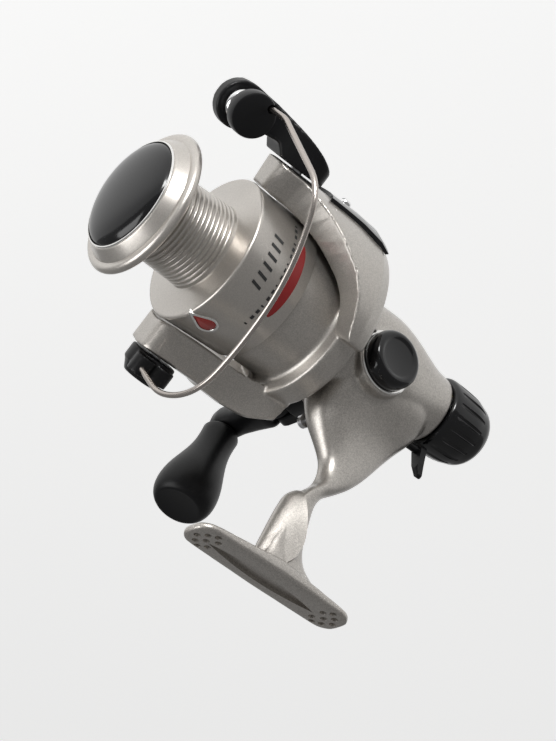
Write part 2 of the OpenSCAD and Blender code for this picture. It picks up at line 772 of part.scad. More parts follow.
function clip_stations() = [slot_x - slider_w / 2 - 0.9, slot_x + slider_w / 2 + 0.1];
module shaft_clips() {
    color("gray") on_axis() for (x = clip_stations()) {
        ring_x(shaft_r + 1.4, shaft_r - 0.5 + seat_fit, x + seat_fit, x + 0.8 - seat_fit);
    }
}
module spool() {
    color("silver") difference() {
        turned(concat(
            [[shaft_r + seat_fit, 46], [5.5, 46], [5.5, arbor_front - 0.8], [12, arbor_front - 0.8],
                [12, flange_x - 1.7], [skirt_inner, flange_x - 1.7], [skirt_inner, skirt_rear],
                [skirt_radius, skirt_rear], [flange_radius, flange_x - 0.9], [flange_radius, flange_x - 0.4],
                [flange_radius - 0.4, flange_x], [arbor_radius + 0.5, flange_x + 0.7]],
            [for (i = [0 : groove_count - 1]) for (p = [[0, 0.1], [0, 0.45], [-0.45, 0.7]])
                [arbor_radius + p[0] + 0.5 * (1 - i / groove_count),
                    flange_x + 0.7 + arbor_width * (i + p[1]) / groove_count]],
            [[arbor_radius, arbor_front], [lip_radius - 2, arbor_front + 0.8]],
            arc(lip_radius - 1.6, lip_x - 0.2, 1.6, -60, 110, 10),
            [[lip_radius - 2.9, lip_x + 1.3], [lip_radius - 3.1, lip_x + 2.1],
                [button_radius + 1, nose_x], [button_radius + 0.3, nose_x], [button_radius + 0.3, recess_x],
                [5.5, recess_x], [5.5, recess_x + 0.8], [shaft_r + seat_fit, recess_x + 0.8]]
        ));
        clip_place() translate([0, 0, -2]) linear_extrude(4) clip_outline(seat_fit);
    }
}
// Line clip seat on the skirt: local z points out of the skirt, local x along the reel
clip_x = 45.4;
clip_angle = 5.3;
module clip_place() {
    on_axis() rotate([clip_angle, 0, 0]) translate([clip_x, 0, skirt_radius]) children();
}
module clip_outline(extra) {
    polygon(concat(arc(-2.4, 0, 2.7 + extra, 90, 270, 10), [[5.6 + extra, -0.5], [5.6 + extra, 0.5]]));
}
module clip_bezel() {
    color("silver") clip_place() difference() {
        translate([0, 0, -0.9]) linear_extrude(1.5) clip_outline(0);
        translate([0, 0, -2]) linear_extrude(4) translate([-0.4, 0]) scale(0.72) clip_outline(0);
    }
}
module line_clip() {
    color("firebrick") clip_place() translate([0, 0, -0.7]) linear_extrude(1.6)
        translate([-0.4, 0]) scale(0.7) clip_outline(0);
}
latch_y = 0.6;
module spool_latch() {
    color("lightgray") on_axis() difference() {
        translate([recess_x + 1.1, -6, -3.6]) cube([1, 12, 7.2]);
        hull() {
            rod_x(shaft_r - 0.45, recess_x, recess_x + 3);
            translate([0, latch_y + 1.5, 0]) rod_x(shaft_r + 0.1, recess_x, recess_x + 3);
        }
    }
}
button_base = recess_x + 4.6;
module spool_button() {
    color("black") turned(concat(
        [[0, button_base], [button_radius - 1.4, button_base], [button_radius - 0.02, nose_x - 0.4]],
        [for (i = [1 : 8]) let (t = i * 90 / 8)
            [(button_radius - 0.02) * cos(t), nose_x - 0.4 + 4.4 * sin(t)]]
    ));
}
module button_spring() {
    color("lightgray") on_axis() for (i = [0 : 2]) {
        translate([recess_x + 1.2 + 0.75 * i, 0, 0]) along_x() rotate_extrude()
            translate([8.6, 0]) circle(r = 0.3, $fn = 16);
    }
}

// ---------- rear drag ----------
module drag_sleeve() {
    color("goldenrod") on_axis() {
        ring_x(sleeve_r, shaft_r + run_fit, drag_rim + 0.1, -34.4);
        ring_x(washer_r - 0.5, sleeve_r - 0.3, drag_front - 1.2, drag_front - 0.3);
    }
}
module washer_stack(first, r_out, r_in) {
    on_axis() for (i = [first, first + 2]) {
        ring_x(r_out, r_in, drag_front - 1.25 - (i + 1) * (washer_t + 0.06), drag_front - 1.25 - (i + 1) * (washer_t + 0.06) + washer_t);
    }
}
module drag_washers_fixed() {
    color("lightgray") washer_stack(0, washer_r + gap - seat_fit, sleeve_r + 0.3);
}
module drag_washers_keyed() {
    color("tan") washer_stack(1, washer_r - 0.3, sleeve_r + seat_fit);
}
stud_r = 5.8;
module drag_stud() {
    color("dimgray") on_axis() {
        ring_x(9.2, sleeve_r + 0.3, drag_rim - 1 , drag_rim - seat_fit);
        ring_x(stud_r, sleeve_r + 0.3, drag_rim - 14, drag_rim - 0.5);
    }
}
module drag_spring() {
    color("lightgray") on_axis() for (i = [0 : 2]) {
        translate([drag_rim - 1.6 - i * 1.1, 0, 0]) along_x() rotate_extrude()
            translate([7.2, 0]) circle(r = 0.5, $fn = 16);
    }
}
module drag_nut() {
    color("goldenrod") on_axis() difference() {
        translate([drag_rim - 9, 0, 0]) along_x() cylinder(r = 9.4, h = 4.2, $fn = 6);
        rod_x(stud_r + run_fit, -80, 0);
    }
}
module drag_knob() {
    color("black") difference() {
        turned(concat(
            [[10.2, knob_front], [drag_radius - 0.8, knob_front]],
            bend([drag_radius, knob_front - 4], [drag_radius - 0.3, knob_front - 10],
                [drag_radius - 1, knob_rear + 7], [drag_radius - 2.2, knob_rear + 4.5], 5),
            bend([drag_radius - 2.2, knob_rear + 4.5], [drag_radius - 3.4, knob_rear + 1.5],
                [drag_radius - 6, knob_rear], [0, knob_rear], 6),
            [[0, drag_rim - 15], [8.2, drag_rim - 15], [8.2, drag_rim - 9.6], [10.2, drag_rim - 9.6]]
        ));
    }
}

// ---------- handle drive ----------
// Local frame of the handle: y runs out along the drive shaft, z along the knob
module handle_frame() {
    drive_frame() rotate([0, knob_lean, 0]) children();
}
module drive_gear() {
    color("darkgray") drive_frame() difference() {
        union() {
            rod_y(gear_r, gear_face_y + 0.9, gear_face_y + 0.9 + gear_web);
            rotate([-90, 0, 0]) for (i = [0 : drive_teeth - 1]) {
                rotate(i * 360 / drive_teeth) translate([gear_r - 3.2, -0.55, gear_face_y]) cube([3.1, 1.1, 1]);
            }
            rod_y(drive_r + 2.2, gear_face_y + 0.9, cheek - 3.6);
        }
        rod_y(drive_r + seat_fit, -20, 20);
    }
}
module drive_shaft() {
    color("lightgray") drive_frame() difference() {
        union() {
            rod_y(drive_r, -cheek + 0.3, fold_y - 8);
            difference() {
                translate([0, oscillation_y, 0]) rotate([90, 0, 0]) linear_extrude(oscillation_w)
                    gear_outline(transfer_teeth, transfer_r + tooth_module, 2 * tooth_module);
                rod_y(drive_r - 0.5, -20, 20);
            }
        }
    }
}
module oscillation_gear() {
    rest_angle = acos(rest_share);
    color("ivory") on_axis() translate([oscillation_x, 0, oscillation_z]) {
        translate([0, oscillation_y, 0]) rotate([90, 0, 0]) linear_extrude(oscillation_w)
            rotate(3) gear_outline(oscillation_teeth, oscillation_r + tooth_module, 2 * tooth_module);
        translate([stroke_radius * cos(rest_angle), 0, stroke_radius * sin(rest_angle)])
            rod_y(slot_pin_r, oscillation_y - 0.2, -slider_y - gap);
        rod_y(1.8, -cheek + body_wall + 0.4, oscillation_y);
    }
}
module handle_hub() {
    color("black") handle_frame() difference() {
        union() {
            rod_y(hub_r + 0.4, cheek + 0.5, fold_y - 5.6);
            for (s = [-1, 1]) {
                translate([s * 4.3 - 1.7, fold_y - 6, -5]) cube([3.4, 6, 10]);
                translate([s * 4.3 - 1.7, fold_y, 0]) along_x() cylinder(r = 5, h = 3.4);
            }
        }
        rod_y(drive_r + seat_fit, 0, fold_y - 7.9);
        translate([-10, fold_y, 0]) along_x() cylinder(r = 1.5 + seat_fit, h = 20);
    }
}
module fold_pin() {
    color("lightgray") handle_frame() translate([-6, fold_y, 0]) along_x() cylinder(r = 1.5, h = 12);
}
crank_tip = fold_y + crank_length;
module crank_arm() {
    color("black") handle_frame() difference() {
        union() {
            translate([-2.4, fold_y, 0]) along_x() cylinder(r = 4.7, h = 4.8);
            translate([-2.4, fold_y, -4]) cube([4.8, 6, 8]);
            hull() {
                rod_y(5.4, fold_y + 5.5, fold_y + 7);
                translate([0, 0, 0]) rod_y(4.4, crank_tip - 4, crank_tip + 3.4);
            }
        }
        translate([-10, fold_y, 0]) along_x() cylinder(r = 1.5 + run_fit, h = 20);
        translate([0, crank_tip, -10]) cylinder(r = 2 + seat_fit, h = 20);
        translate([0, crank_tip, -10]) cylinder(r = 3.6, h = 6.4);
        translate([0, crank_tip, 4.2]) cylinder(r = 5.4, h = 6.4);
    }
}
knob_base = 4.6;
module knob_spindle() {
    color("lightgray") handle_frame() translate([0, crank_tip, 0]) {
        translate([0, 0, -3.8]) cylinder(r = 2, h = knob_base + knob_length - 7.6);
        translate([0, 0, -4.4]) cylinder(r = 3.2, h = 0.78);
    }
}
module handle_knob() {
    color("black") handle_frame() translate([0, crank_tip, knob_base]) difference() {
        rotate_extrude() polygon(concat(
            [[0, 0], [5.2, 0]],
            bend([5.6, 1], [5, 8], [5.6, 12], [7.8, knob_length - 18], 8),
            bend([7.8, knob_length - 18], [10.4, knob_length - 9], [9.8, knob_length], [0, knob_length], 10)
        ));
        translate([0, 0, -1]) cylinder(r = 2 + run_fit, h = knob_length - 9);
    }
}

housing();
side_cover();
cover_screws();
dust_cap();
drive_bushes();
bearing_outer();
bearing_balls();
bearing_plate();
plate_screws();
guide_bar();
trip_ramp();
drag_washers_fixed();
drag_stud();
drag_spring();
anti_reverse_lever();
lever_screw();
pawl();
pawl_pin();
rotor();
rotor_nut();
rotor_washer();
pinion();
bearing_inner();
ratchet_wheel();
arm_cover();
arm_cover_screw();
pivot_studs();
bail_spring();
trip_lever();
bail_lever();
bail_wire();
pivot_block();
pivot_screws();
roller_cap();
roller_screw();
line_roller();
slider();
main_shaft();
shaft_clips();
spool();
line_clip();
clip_bezel();
spool_latch();
spool_button();
button_spring();
drag_sleeve();
drag_washers_keyed();
drag_knob();
drag_nut();
drive_gear();
drive_shaft();
oscillation_gear();
handle_hub();
fold_pin();
crank_arm();
knob_spindle();
handle_knob();
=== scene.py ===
"""Looks of a spinning reel: shapes, finishes, floor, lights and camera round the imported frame."""

import json
from math import atan2, cos, degrees, pi, radians, sin, sqrt

import bmesh
import bpy
from mathutils import Matrix, Vector


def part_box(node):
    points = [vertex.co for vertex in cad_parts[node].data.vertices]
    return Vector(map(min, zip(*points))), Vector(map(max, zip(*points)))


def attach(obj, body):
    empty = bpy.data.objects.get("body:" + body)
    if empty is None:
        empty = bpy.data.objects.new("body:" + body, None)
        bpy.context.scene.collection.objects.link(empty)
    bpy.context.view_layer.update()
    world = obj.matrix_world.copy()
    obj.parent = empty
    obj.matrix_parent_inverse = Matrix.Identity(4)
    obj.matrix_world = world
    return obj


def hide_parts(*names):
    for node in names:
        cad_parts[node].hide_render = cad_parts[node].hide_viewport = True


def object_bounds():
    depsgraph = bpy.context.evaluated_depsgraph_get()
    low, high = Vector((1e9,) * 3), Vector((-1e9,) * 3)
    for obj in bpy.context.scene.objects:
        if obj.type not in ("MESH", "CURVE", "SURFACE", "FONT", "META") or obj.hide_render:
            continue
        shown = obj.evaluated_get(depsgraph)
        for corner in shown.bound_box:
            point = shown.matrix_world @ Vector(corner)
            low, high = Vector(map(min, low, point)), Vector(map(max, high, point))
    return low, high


bl_info = {
    "name": "Spinning reel",
    "version": (1, 0, 0),
    "blender": (4, 5, 0),
    "location": "View3D > Sidebar > Reel",
    "description": "Builds a spinning reel with a full bail and a rear drag",
    "category": "Object",
}

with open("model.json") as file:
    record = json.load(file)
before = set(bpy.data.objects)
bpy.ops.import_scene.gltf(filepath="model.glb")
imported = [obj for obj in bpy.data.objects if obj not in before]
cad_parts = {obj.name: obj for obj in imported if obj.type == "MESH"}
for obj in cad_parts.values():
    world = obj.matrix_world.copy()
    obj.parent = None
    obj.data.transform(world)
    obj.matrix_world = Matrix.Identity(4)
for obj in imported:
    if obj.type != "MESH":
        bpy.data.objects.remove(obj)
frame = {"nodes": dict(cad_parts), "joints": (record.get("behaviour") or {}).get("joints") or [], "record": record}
CAD_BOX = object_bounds()
NODES = frame["nodes"]
JOINTS = {j["name"]: j for j in frame["joints"]}

# ---------- places, in millimetres, read from the frame ----------
MM = 0.001
AXIS_Z = JOINTS["rotor_spin"]["pos_m"][2] / MM
PIVOT = Vector(JOINTS["bail_swing"]["pos_m"]) / MM
ARM_AXIS = Vector(JOINTS["bail_swing"]["axis"])
ROTOR_TURN = atan2(ARM_AXIS.y, ARM_AXIS.z)
DRIVE = Vector(JOINTS["crank_turn"]["pos_m"]) / MM
KNOB_AXIS = Vector(JOINTS["knob_spin"]["axis"])
KNOB_AT = Vector(JOINTS["knob_spin"]["pos_m"]) / MM
FOLD_Y = JOINTS["handle_fold"]["pos_m"][1] / MM
SPOOL_AXIS = Matrix.Translation((0, 0, AXIS_Z))
ROTOR = SPOOL_AXIS @ Matrix.Rotation(-ROTOR_TURN, 4, "X")
DRIVE_LINE = Matrix.Translation(DRIVE)
HANDLE = DRIVE_LINE @ Matrix.Rotation(atan2(KNOB_AXIS.x, KNOB_AXIS.z), 4, "Y")


def span(node, axis):
    """Lowest and highest place of a node along one axis, in millimetres."""
    low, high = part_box(node)
    return low[axis] / MM, high[axis] / MM


# ---------- finishes ----------
def finish_node(name, colour, metallic=0.0, roughness=0.4):
    """A new material with its node tree and its shader node."""
    mat = bpy.data.materials.new(name)
    mat.use_nodes = True
    shader = mat.node_tree.nodes["Principled BSDF"]
    shader.inputs["Base Color"].default_value = (*colour, 1)
    shader.inputs["Metallic"].default_value = metallic
    shader.inputs["Roughness"].default_value = roughness
    mat.diffuse_color = (*colour, 1)
    return mat, mat.node_tree, shader


def add_node(tree, kind, **values):
    """Adds a node; each value goes to the input or the setting of that name."""
    made = tree.nodes.new(kind)
    for key, value in values.items():
        if key in made.inputs:
            made.inputs[key].default_value = value
        else:
            setattr(made, key, value)
    return made


def object_place(tree):
    return add_node(tree, "ShaderNodeTexCoord").outputs["Object"]


def flake_paint(name, colour, grain=4800.0, spread=0.20, metallic=0.85, roughness=0.36, rough_bump=0.10):
    """Silver paint with fine metal flakes: each grain has its own brightness and tilt."""
    mat, tree, shader = finish_node(name, colour, metallic, roughness)
    place = object_place(tree)
    cells = add_node(tree, "ShaderNodeTexVoronoi", Scale=grain)
    tree.links.new(place, cells.inputs["Vector"])
    grey = add_node(tree, "ShaderNodeSeparateColor")
    tree.links.new(cells.outputs["Color"], grey.inputs["Color"])
    ramp = add_node(tree, "ShaderNodeValToRGB")
    ramp.color_ramp.elements[0].position = 0.15
    ramp.color_ramp.elements[1].position = 0.95
    dark = [max(0.0, c * (1 - spread)) for c in colour]
    light = [min(1.0, c * (1 + spread)) for c in colour]
    ramp.color_ramp.elements[0].color = (*dark, 1)
    ramp.color_ramp.elements[1].color = (*light, 1)
    tree.links.new(grey.outputs["Red"], ramp.inputs["Fac"])
    tree.links.new(ramp.outputs["Color"], shader.inputs["Base Color"])
    bump = add_node(tree, "ShaderNodeBump", Strength=rough_bump, Distance=0.0001)
    tree.links.new(grey.outputs["Green"], bump.inputs["Height"])
    tree.links.new(bump.outputs["Normal"], shader.inputs["Normal"])
    shader.inputs["Coat Weight"].default_value = 0.3
    shader.inputs["Coat Roughness"].default_value = 0.12
    return mat


def moulded(name, colour, roughness, coat=0.0, grain=900.0, depth=0.05, specular=0.5):
    """Moulded plastic with a faint uneven sheen."""
    mat, tree, shader = finish_node(name, colour, 0.0, roughness)
    place = object_place(tree)
    noise = add_node(tree, "ShaderNodeTexNoise", Scale=grain, Detail=3.0)
    tree.links.new(place, noise.inputs["Vector"])
    bump = add_node(tree, "ShaderNodeBump", Strength=depth, Distance=0.00015)
    tree.links.new(noise.outputs["Fac"], bump.inputs["Height"])
    tree.links.new(bump.outputs["Normal"], shader.inputs["Normal"])
    sheen = add_node(tree, "ShaderNodeMapRange")
    sheen.inputs["To Min"].default_value = roughness * 0.85
    sheen.inputs["To Max"].default_value = min(1.0, roughness * 1.2)
    tree.links.new(noise.outputs["Fac"], sheen.inputs["Value"])
    tree.links.new(sheen.outputs["Result"], shader.inputs["Roughness"])
    shader.inputs["Coat Weight"].default_value = coat
    shader.inputs["Coat Roughness"].default_value = 0.06
    shader.inputs["Specular IOR Level"].default_value = specular
    return mat


def turned_metal(name, colour, roughness, stretch=(1, 1, 1), depth=0.04):
    """Worked metal with fine marks along one direction."""
    mat, tree, shader = finish_node(name, colour, 1.0, roughness)
    place = object_place(tree)
    mapping = add_node(tree, "ShaderNodeMapping")
    mapping.inputs["Scale"].default_value = stretch
    noise = add_node(tree, "ShaderNodeTexNoise", Scale=700.0, Detail=2.0)
    tree.links.new(place, mapping.inputs["Vector"])
    tree.links.new(mapping.outputs["Vector"], noise.inputs["Vector"])
    bump = add_node(tree, "ShaderNodeBump", Strength=depth, Distance=0.0001)
    tree.links.new(noise.outputs["Fac"], bump.inputs["Height"])
    tree.links.new(bump.outputs["Normal"], shader.inputs["Normal"])
    return mat


FINISH = {}


def make_finishes(colours):
    """Makes every material once, from the chosen colours."""
    silver, black = tuple(colours.silver), tuple(colours.black)
    FINISH.update({
        "silver_body": flake_paint("silver_body", silver),
        "silver_rotor": flake_paint("silver_rotor", tuple(c * 1.04 for c in silver), spread=0.14),
        "silver_spool": flake_paint("silver_spool", tuple(c * 1.15 for c in silver), grain=4200.0,
                                    spread=0.07, roughness=0.32, rough_bump=0.05),
        "bright_trim": turned_metal("bright_trim", (0.80, 0.79, 0.77), 0.18),
        "gloss_black": moulded("gloss_black", black, 0.14, depth=0.015, specular=0.42),
        "satin_black": moulded("satin_black", black, 0.34, grain=1400.0, specular=0.26),
        "soft_black": moulded("soft_black", black, 0.40, grain=1800.0, depth=0.08, specular=0.24),
        "red_plastic": moulded("red_plastic", tuple(colours.red), 0.25, coat=0.3),
        "nylon": moulded("nylon", (0.72, 0.70, 0.62), 0.5),
        "felt": moulded("felt", (0.20, 0.15, 0.11), 0.9, grain=4000.0, depth=0.4),
        "wire_steel": turned_metal("wire_steel", (0.46, 0.42, 0.39), 0.24),
        "chrome": turned_metal("chrome", (0.80, 0.80, 0.80), 0.10),
        "steel": turned_metal("steel", (0.56, 0.56, 0.57), 0.28),
        "plate_steel": turned_metal("plate_steel", (0.45, 0.45, 0.46), 0.34),
        "brass": turned_metal("brass", (0.72, 0.54, 0.24), 0.26),
        "cast_alloy": turned_metal("cast_alloy", (0.52, 0.52, 0.53), 0.42, depth=0.12),
        "print_black": moulded("print_black", (0.02, 0.02, 0.02), 0.4),
        "red_print": moulded("red_print", (0.20, 0.008, 0.008), 0.38),
    })


# finishes that go by another name than the slot
CAD_FINISH = {"silver_trim": "bright_trim"}
NODE_SLOT = {s["node"]: s["material_slot"] for s in frame["record"]["subparts"]}


# ---------- mesh helpers; every shape is drawn in millimetres ----------
def bend(p, q, r, s, count):
    """Points along a cubic curve from p to s, pulled towards q and r."""
    points = []
    for i in range(count + 1):
        t = i / count
        u = 1 - t
        points.append(tuple(u ** 3 * a + 3 * u * u * t * b + 3 * u * t * t * c + t ** 3 * d
                            for a, b, c, d in zip(p, q, r, s)))
    return points


def arc(cx, cy, r, start, end, count):
    """Points on a round corner, angles in degrees."""
    steps = [radians(start + (end - start) * i / count) for i in range(count + 1)]
    return [(cx + r * cos(a), cy + r * sin(a)) for a in steps]


def lathe(bm, profile, steps=96, axis="X"):
    """Spins (radius, place) points once round an axis; points at radius 0 become poles."""
    chain = []
    for r, a in profile:
        chain.append(bm.verts.new((a, 0, r) if axis == "X" else (r, 0, a) if axis == "Z" else (r, a, 0)))
    edges = [bm.edges.new(pair) for pair in zip(chain, chain[1:])]
    direction = {"X": (1, 0, 0), "Y": (0, 1, 0), "Z": (0, 0, 1)}[axis]
    bmesh.ops.spin(bm, geom=chain + edges, cent=(0, 0, 0), axis=direction, angle=2 * pi,
                   steps=steps, use_merge=True)
    bmesh.ops.remove_doubles(bm, verts=bm.verts, dist=1e-4)
    bmesh.ops.dissolve_degenerate(bm, edges=bm.edges, dist=1e-5)
    bmesh.ops.recalc_face_normals(bm, faces=bm.faces)
    return bm


def loft(bm, rings):
    """Joins rings of equally many points into a skin, with its two ends closed."""
    made = []
    for ring in rings:
        verts = [bm.verts.new(p) for p in ring]
        made.append([bm.edges.new((verts[i], verts[(i + 1) % len(verts)])) for i in range(len(verts))])
    for first, second in zip(made, made[1:]):
        bmesh.ops.bridge_loops(bm, edges=first + second)
    for ends in (made[0], made[-1]):
        bmesh.ops.contextual_create(bm, geom=ends)
    bmesh.ops.recalc_face_normals(bm, faces=bm.faces)
    return bm


def slab(bm, outline, low, high, plane="XY"):
    """A flat plate with the outline, from low to high across its plane."""
    place = {
        "XY": lambda p, h: (p[0], p[1], h), "XZ": lambda p, h: (p[0], h, p[1]),
        "YZ": lambda p, h: (h, p[0], p[1]),
    }[plane]
    face = bm.faces.new([bm.verts.new(place(p, low)) for p in outline])
    grown = bmesh.ops.extrude_face_region(bm, geom=[face])
    moved = [g for g in grown["geom"] if isinstance(g, bmesh.types.BMVert)]
    shift = {"XY": (0, 0, high - low), "XZ": (0, high - low, 0), "YZ": (high - low, 0, 0)}[plane]
    bmesh.ops.translate(bm, vec=shift, verts=moved)
    bmesh.ops.recalc_face_normals(bm, faces=bm.faces)
    return bm


def rod(bm, r, start, end, steps=48, r_end=None):
    """A round bar between two points."""
    start, end = Vector(start), Vector(end)
    along = end - start
    turn = along.to_track_quat("Z", "Y").to_matrix().to_4x4()
    bmesh.ops.create_cone(bm, cap_ends=True, segments=steps, radius1=r, radius2=r if r_end is None else r_end,
                          depth=along.length, matrix=Matrix.Translation((start + end) / 2) @ turn)
    return bm


def ball(bm, r, at, steps=32):
    """A sphere round a point."""
    bmesh.ops.create_uvsphere(bm, u_segments=steps, v_segments=steps // 2, radius=r,
                              matrix=Matrix.Translation(at))
    return bm


def to_object(bm, name="form"):
    """Turns a bmesh into a scene object and frees it."""
    mesh = bpy.data.meshes.new(name)
    bm.to_mesh(mesh)
    bm.free()
    made = bpy.data.objects.new(name, mesh)
    bpy.context.scene.collection.objects.link(made)
    return made


def drop(obj):
    """Removes an object and its mesh."""
    mesh = obj.data
    bpy.data.objects.remove(obj)
    bpy.data.meshes.remove(mesh)


def baked(obj):
    """The object's mesh with its modifiers applied, as a new bmesh; the object is removed."""
    result = bmesh.new()
    result.from_mesh(obj.evaluated_get(bpy.context.evaluated_depsgraph_get()).to_mesh())
    obj.to_mesh_clear()
    drop(obj)
    return result


def melt(bm, voxel=0.6, passes=6, factor=0.5):
    """Fuses overlapping solids into one skin and softens every edge."""
    form = to_object(bm)
    fuse = form.modifiers.new("fuse", "REMESH")
    fuse.mode = "VOXEL"
    fuse.voxel_size = voxel
    if passes:
        soften = form.modifiers.new("soften", "SMOOTH")
        soften.iterations = passes
        soften.factor = factor
    return baked(form)


def combine(bm, other, how="DIFFERENCE"):
    """Cuts, joins or intersects one solid with another."""
    form, tool = to_object(bm), to_object(other)
    cut = form.modifiers.new("cut", "BOOLEAN")
    cut.operation = how
    cut.solver = "EXACT"
    cut.object = tool
    result = baked(form)
    drop(tool)
    return result


def piece(bm, name, place, finish, body, nodes=(), sharp=32.0, bevel=0.0, segments=2):
    """Makes the finished object: in metres, in the row frame, riding on its body."""
    bmesh.ops.transform(bm, matrix=Matrix.Scale(MM, 4) @ place, verts=bm.verts)
    obj = to_object(bm, name)
    obj.data.materials.append(FINISH[finish])
    for face in obj.data.polygons:
        face.use_smooth = True
    obj.data.set_sharp_from_angle(angle=radians(sharp))
    if bevel:
        edge = obj.modifiers.new("edge", "BEVEL")
        edge.width = bevel * MM
        edge.segments = segments
        edge.limit_method = "ANGLE"
        edge.angle_limit = radians(sharp)
        edge.harden_normals = False
    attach(obj, body)
    if nodes:
        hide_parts(*nodes)
    return obj


# ---------- body: housing with stem and foot, side cover ----------
BODY_FRONT = 1.5
CHEEK = 14.5
SPLIT_Y = 3.0
FOOT_LENGTH = 60.0
FOOT_WIDTH = 15.0
# (place, half width, highest, lowest, squareness) of the gear box, back from its front face
BOX_STATIONS = [
    (1.5, 14.5, 17.0, -17.0, 2.5), (-4, 14.6, 17.0, -17.0, 2.6), (-11, 14.6, 17.2, -17.0, 2.7),
    (-18, 14.5, 17.0, -16.7, 2.7), (-25, 13.8, 16.0, -15.2, 2.5), (-31, 12.8, 14.5, -13.2, 2.3),
    (-37, 11.6, 12.8, -11.6, 2.1), (-43, 10.9, 11.2, -10.9, 2.0),
]
# (height, rear, front, rear half width, front half width, squareness) of the shoulder and stem
STEM_STATIONS = [
    (0, -40, 0.5, 11.5, 14.0, 3.0), (8, -40.5, 0.5, 11.0, 14.2, 3.0), (13, -39.5, 0.8, 9.5, 13.6, 2.8),
    (18, -37, 1.0, 7.4, 11.8, 2.6), (23, -33.6, 0.6, 5.4, 9.8, 2.4), (28, -30.4, -1.2, 4.2, 7.8, 2.4),
    (33, -27.4, -4.8, 3.6, 6.0, 2.4), (38, -24.2, -8.3, 3.3, 5.0, 2.4), (43, -20.2, -9.2, 3.2, 4.8, 2.4),
    (47.5, -15.4, -8.0, 3.2, 5.2, 2.5), (51.5, -11.0, -4.6, 3.2, 5.4, 2.8), (56, -9.0, -1.6, 3.2, 5.2, 3.0),
    (62, -8.7, 0.6, 3.4, 5.2, 3.0), (68, -8.8, 2.4, 3.4, 5.2, 3.0), (73, -9.5, 4.0, 3.6, 5.2, 3.0),
    (77, -11.8, 5.0, 4.2, 5.4, 2.8), (80.5, -17.5, 6.6, 4.8, 5.6, 2.8), (82, -20.0, 7.4, 4.8, 5.6, 2.8),
]


def rounded(count, squareness):
    """Unit points of a squared circle, starting at (1, 0)."""
    points = []
    for i in range(count):
        c, s = cos(2 * pi * i / count), sin(2 * pi * i / count)
        points.append((abs(c) ** (2 / squareness) * (1 if c >= 0 else -1),
                       abs(s) ** (2 / squareness) * (1 if s >= 0 else -1)))
    return points


def between(stations, count):
    """Smooth stations in between the given ones (Catmull-Rom through every value)."""
    result = []
    last = len(stations) - 1
    for i in range(last):
        p0, p1 = stations[max(i - 1, 0)], stations[i]
        p2, p3 = stations[i + 1], stations[min(i + 2, last)]
        for k in range(count):
            t = k / count
            result.append(tuple(
                0.5 * (2 * b + (c - a) * t + (2 * a - 5 * b + 4 * c - d) * t * t
                       + (3 * b - a - 3 * c + d) * t ** 3)
                for a, b, c, d in zip(p0, p1, p2, p3)))
    result.append(stations[-1])
    return result


def box_form():
    """The gear box, swept back along its stations."""
    rings = []
    for x, half, top, low, square in between(BOX_STATIONS, 3):
        mid, tall = (top + low) / 2, (top - low) / 2
        rings.append([(x, half * c, mid + tall * s) for c, s in rounded(72, square)])
    return loft(bmesh.new(), rings)


def stem_form():
    """The shoulder and stem, swept up along their stations."""
    rings = []
    for z, rear, front, rear_half, front_half, square in between(STEM_STATIONS, 3):
        mid, deep = (front + rear) / 2, (front - rear) / 2
        ring = []
        for c, s in rounded(72, square):
            share = (c + 1) / 2
            half = rear_half + (front_half - rear_half) * share
            ring.append((mid + deep * c, half * s, z))
        rings.append(ring)
    return loft(bmesh.new(), rings)


def foot_half_width(x):
    """Half the foot's width at a place along it, with rounded corners."""
    end = FOOT_LENGTH / 2 - abs(x)
    corner = 5.2
    full = FOOT_WIDTH / 2 - 0.035 * abs(x)
    if end >= corner:
        return full
    return full - corner + sqrt(max(corner ** 2 - (corner - end) ** 2, 0.02))


def foot_thickness(x):
    """The foot's thickness, thinner towards its ends."""
    share = min(abs(x) / (FOOT_LENGTH / 2), 1)
    return 2.5 + 2.7 * (1 - share) ** 1.1


def foot_form():
    """The rod foot."""
    rings = []
    steps = 48
    for i in range(steps + 1):
        x = -FOOT_LENGTH / 2 * cos(pi * i / steps)
        half, thick = foot_half_width(x), foot_thickness(x)
        rings.append([(x, half * c, -AXIS_Z - thick / 2 + thick / 2 * s) for c, s in rounded(48, 5.5)])
    return loft(bmesh.new(), rings)


def join(bm, other):
    """Adds the faces of another form to this one."""
    mesh = bpy.data.meshes.new("part")
    other.to_mesh(mesh)
    other.free()
    bm.from_mesh(mesh)
    bpy.data.meshes.remove(mesh)
    return bm


def box_solid(low, high):
    """A plain box between two corners."""
    bm = bmesh.new()
    size = [b - a for a, b in zip(low, high)]
    centre = [(a + b) / 2 for a, b in zip(low, high)]
    bmesh.ops.create_cube(bm, size=1, matrix=Matrix.Translation(centre) @ Matrix.Diagonal((*size, 1)))
    return bm


def body_form():
    """Gear box, stem and foot in one, with the bosses on both cheeks."""
    body = box_form()
    join(body, stem_form())
    join(body, foot_form())
    rod(body, 15.4, (BODY_FRONT - 3, 0, 0), (BODY_FRONT + 1.2, 0, 0), 96)
    rod(body, 9.4, (DRIVE.x, CHEEK - 3, DRIVE.z - AXIS_Z), (DRIVE.x, CHEEK + 0.2, DRIVE.z - AXIS_Z), 64)
    rod(body, 10.4, (DRIVE.x, -CHEEK + 3, DRIVE.z - AXIS_Z), (DRIVE.x, -CHEEK - 0.6, DRIVE.z - AXIS_Z), 64)
    rod(body, 1.2, (DRIVE.x + 8.0, -CHEEK + 3, DRIVE.z - AXIS_Z - 7.2),
        (DRIVE.x + 8.0, -CHEEK - 2.0, DRIVE.z - AXIS_Z - 7.2), 24)
    return melt(body, 0.6, 10)


def leaf_outline(length, width, count=20):
    """A pointed oval along x, centred on the origin."""
    side = [(length * (i / count - 0.5), width / 2 * sin(pi * i / count) ** 0.9) for i in range(count + 1)]
    return side + [(x, -y) for x, y in side[-2:0:-1]]


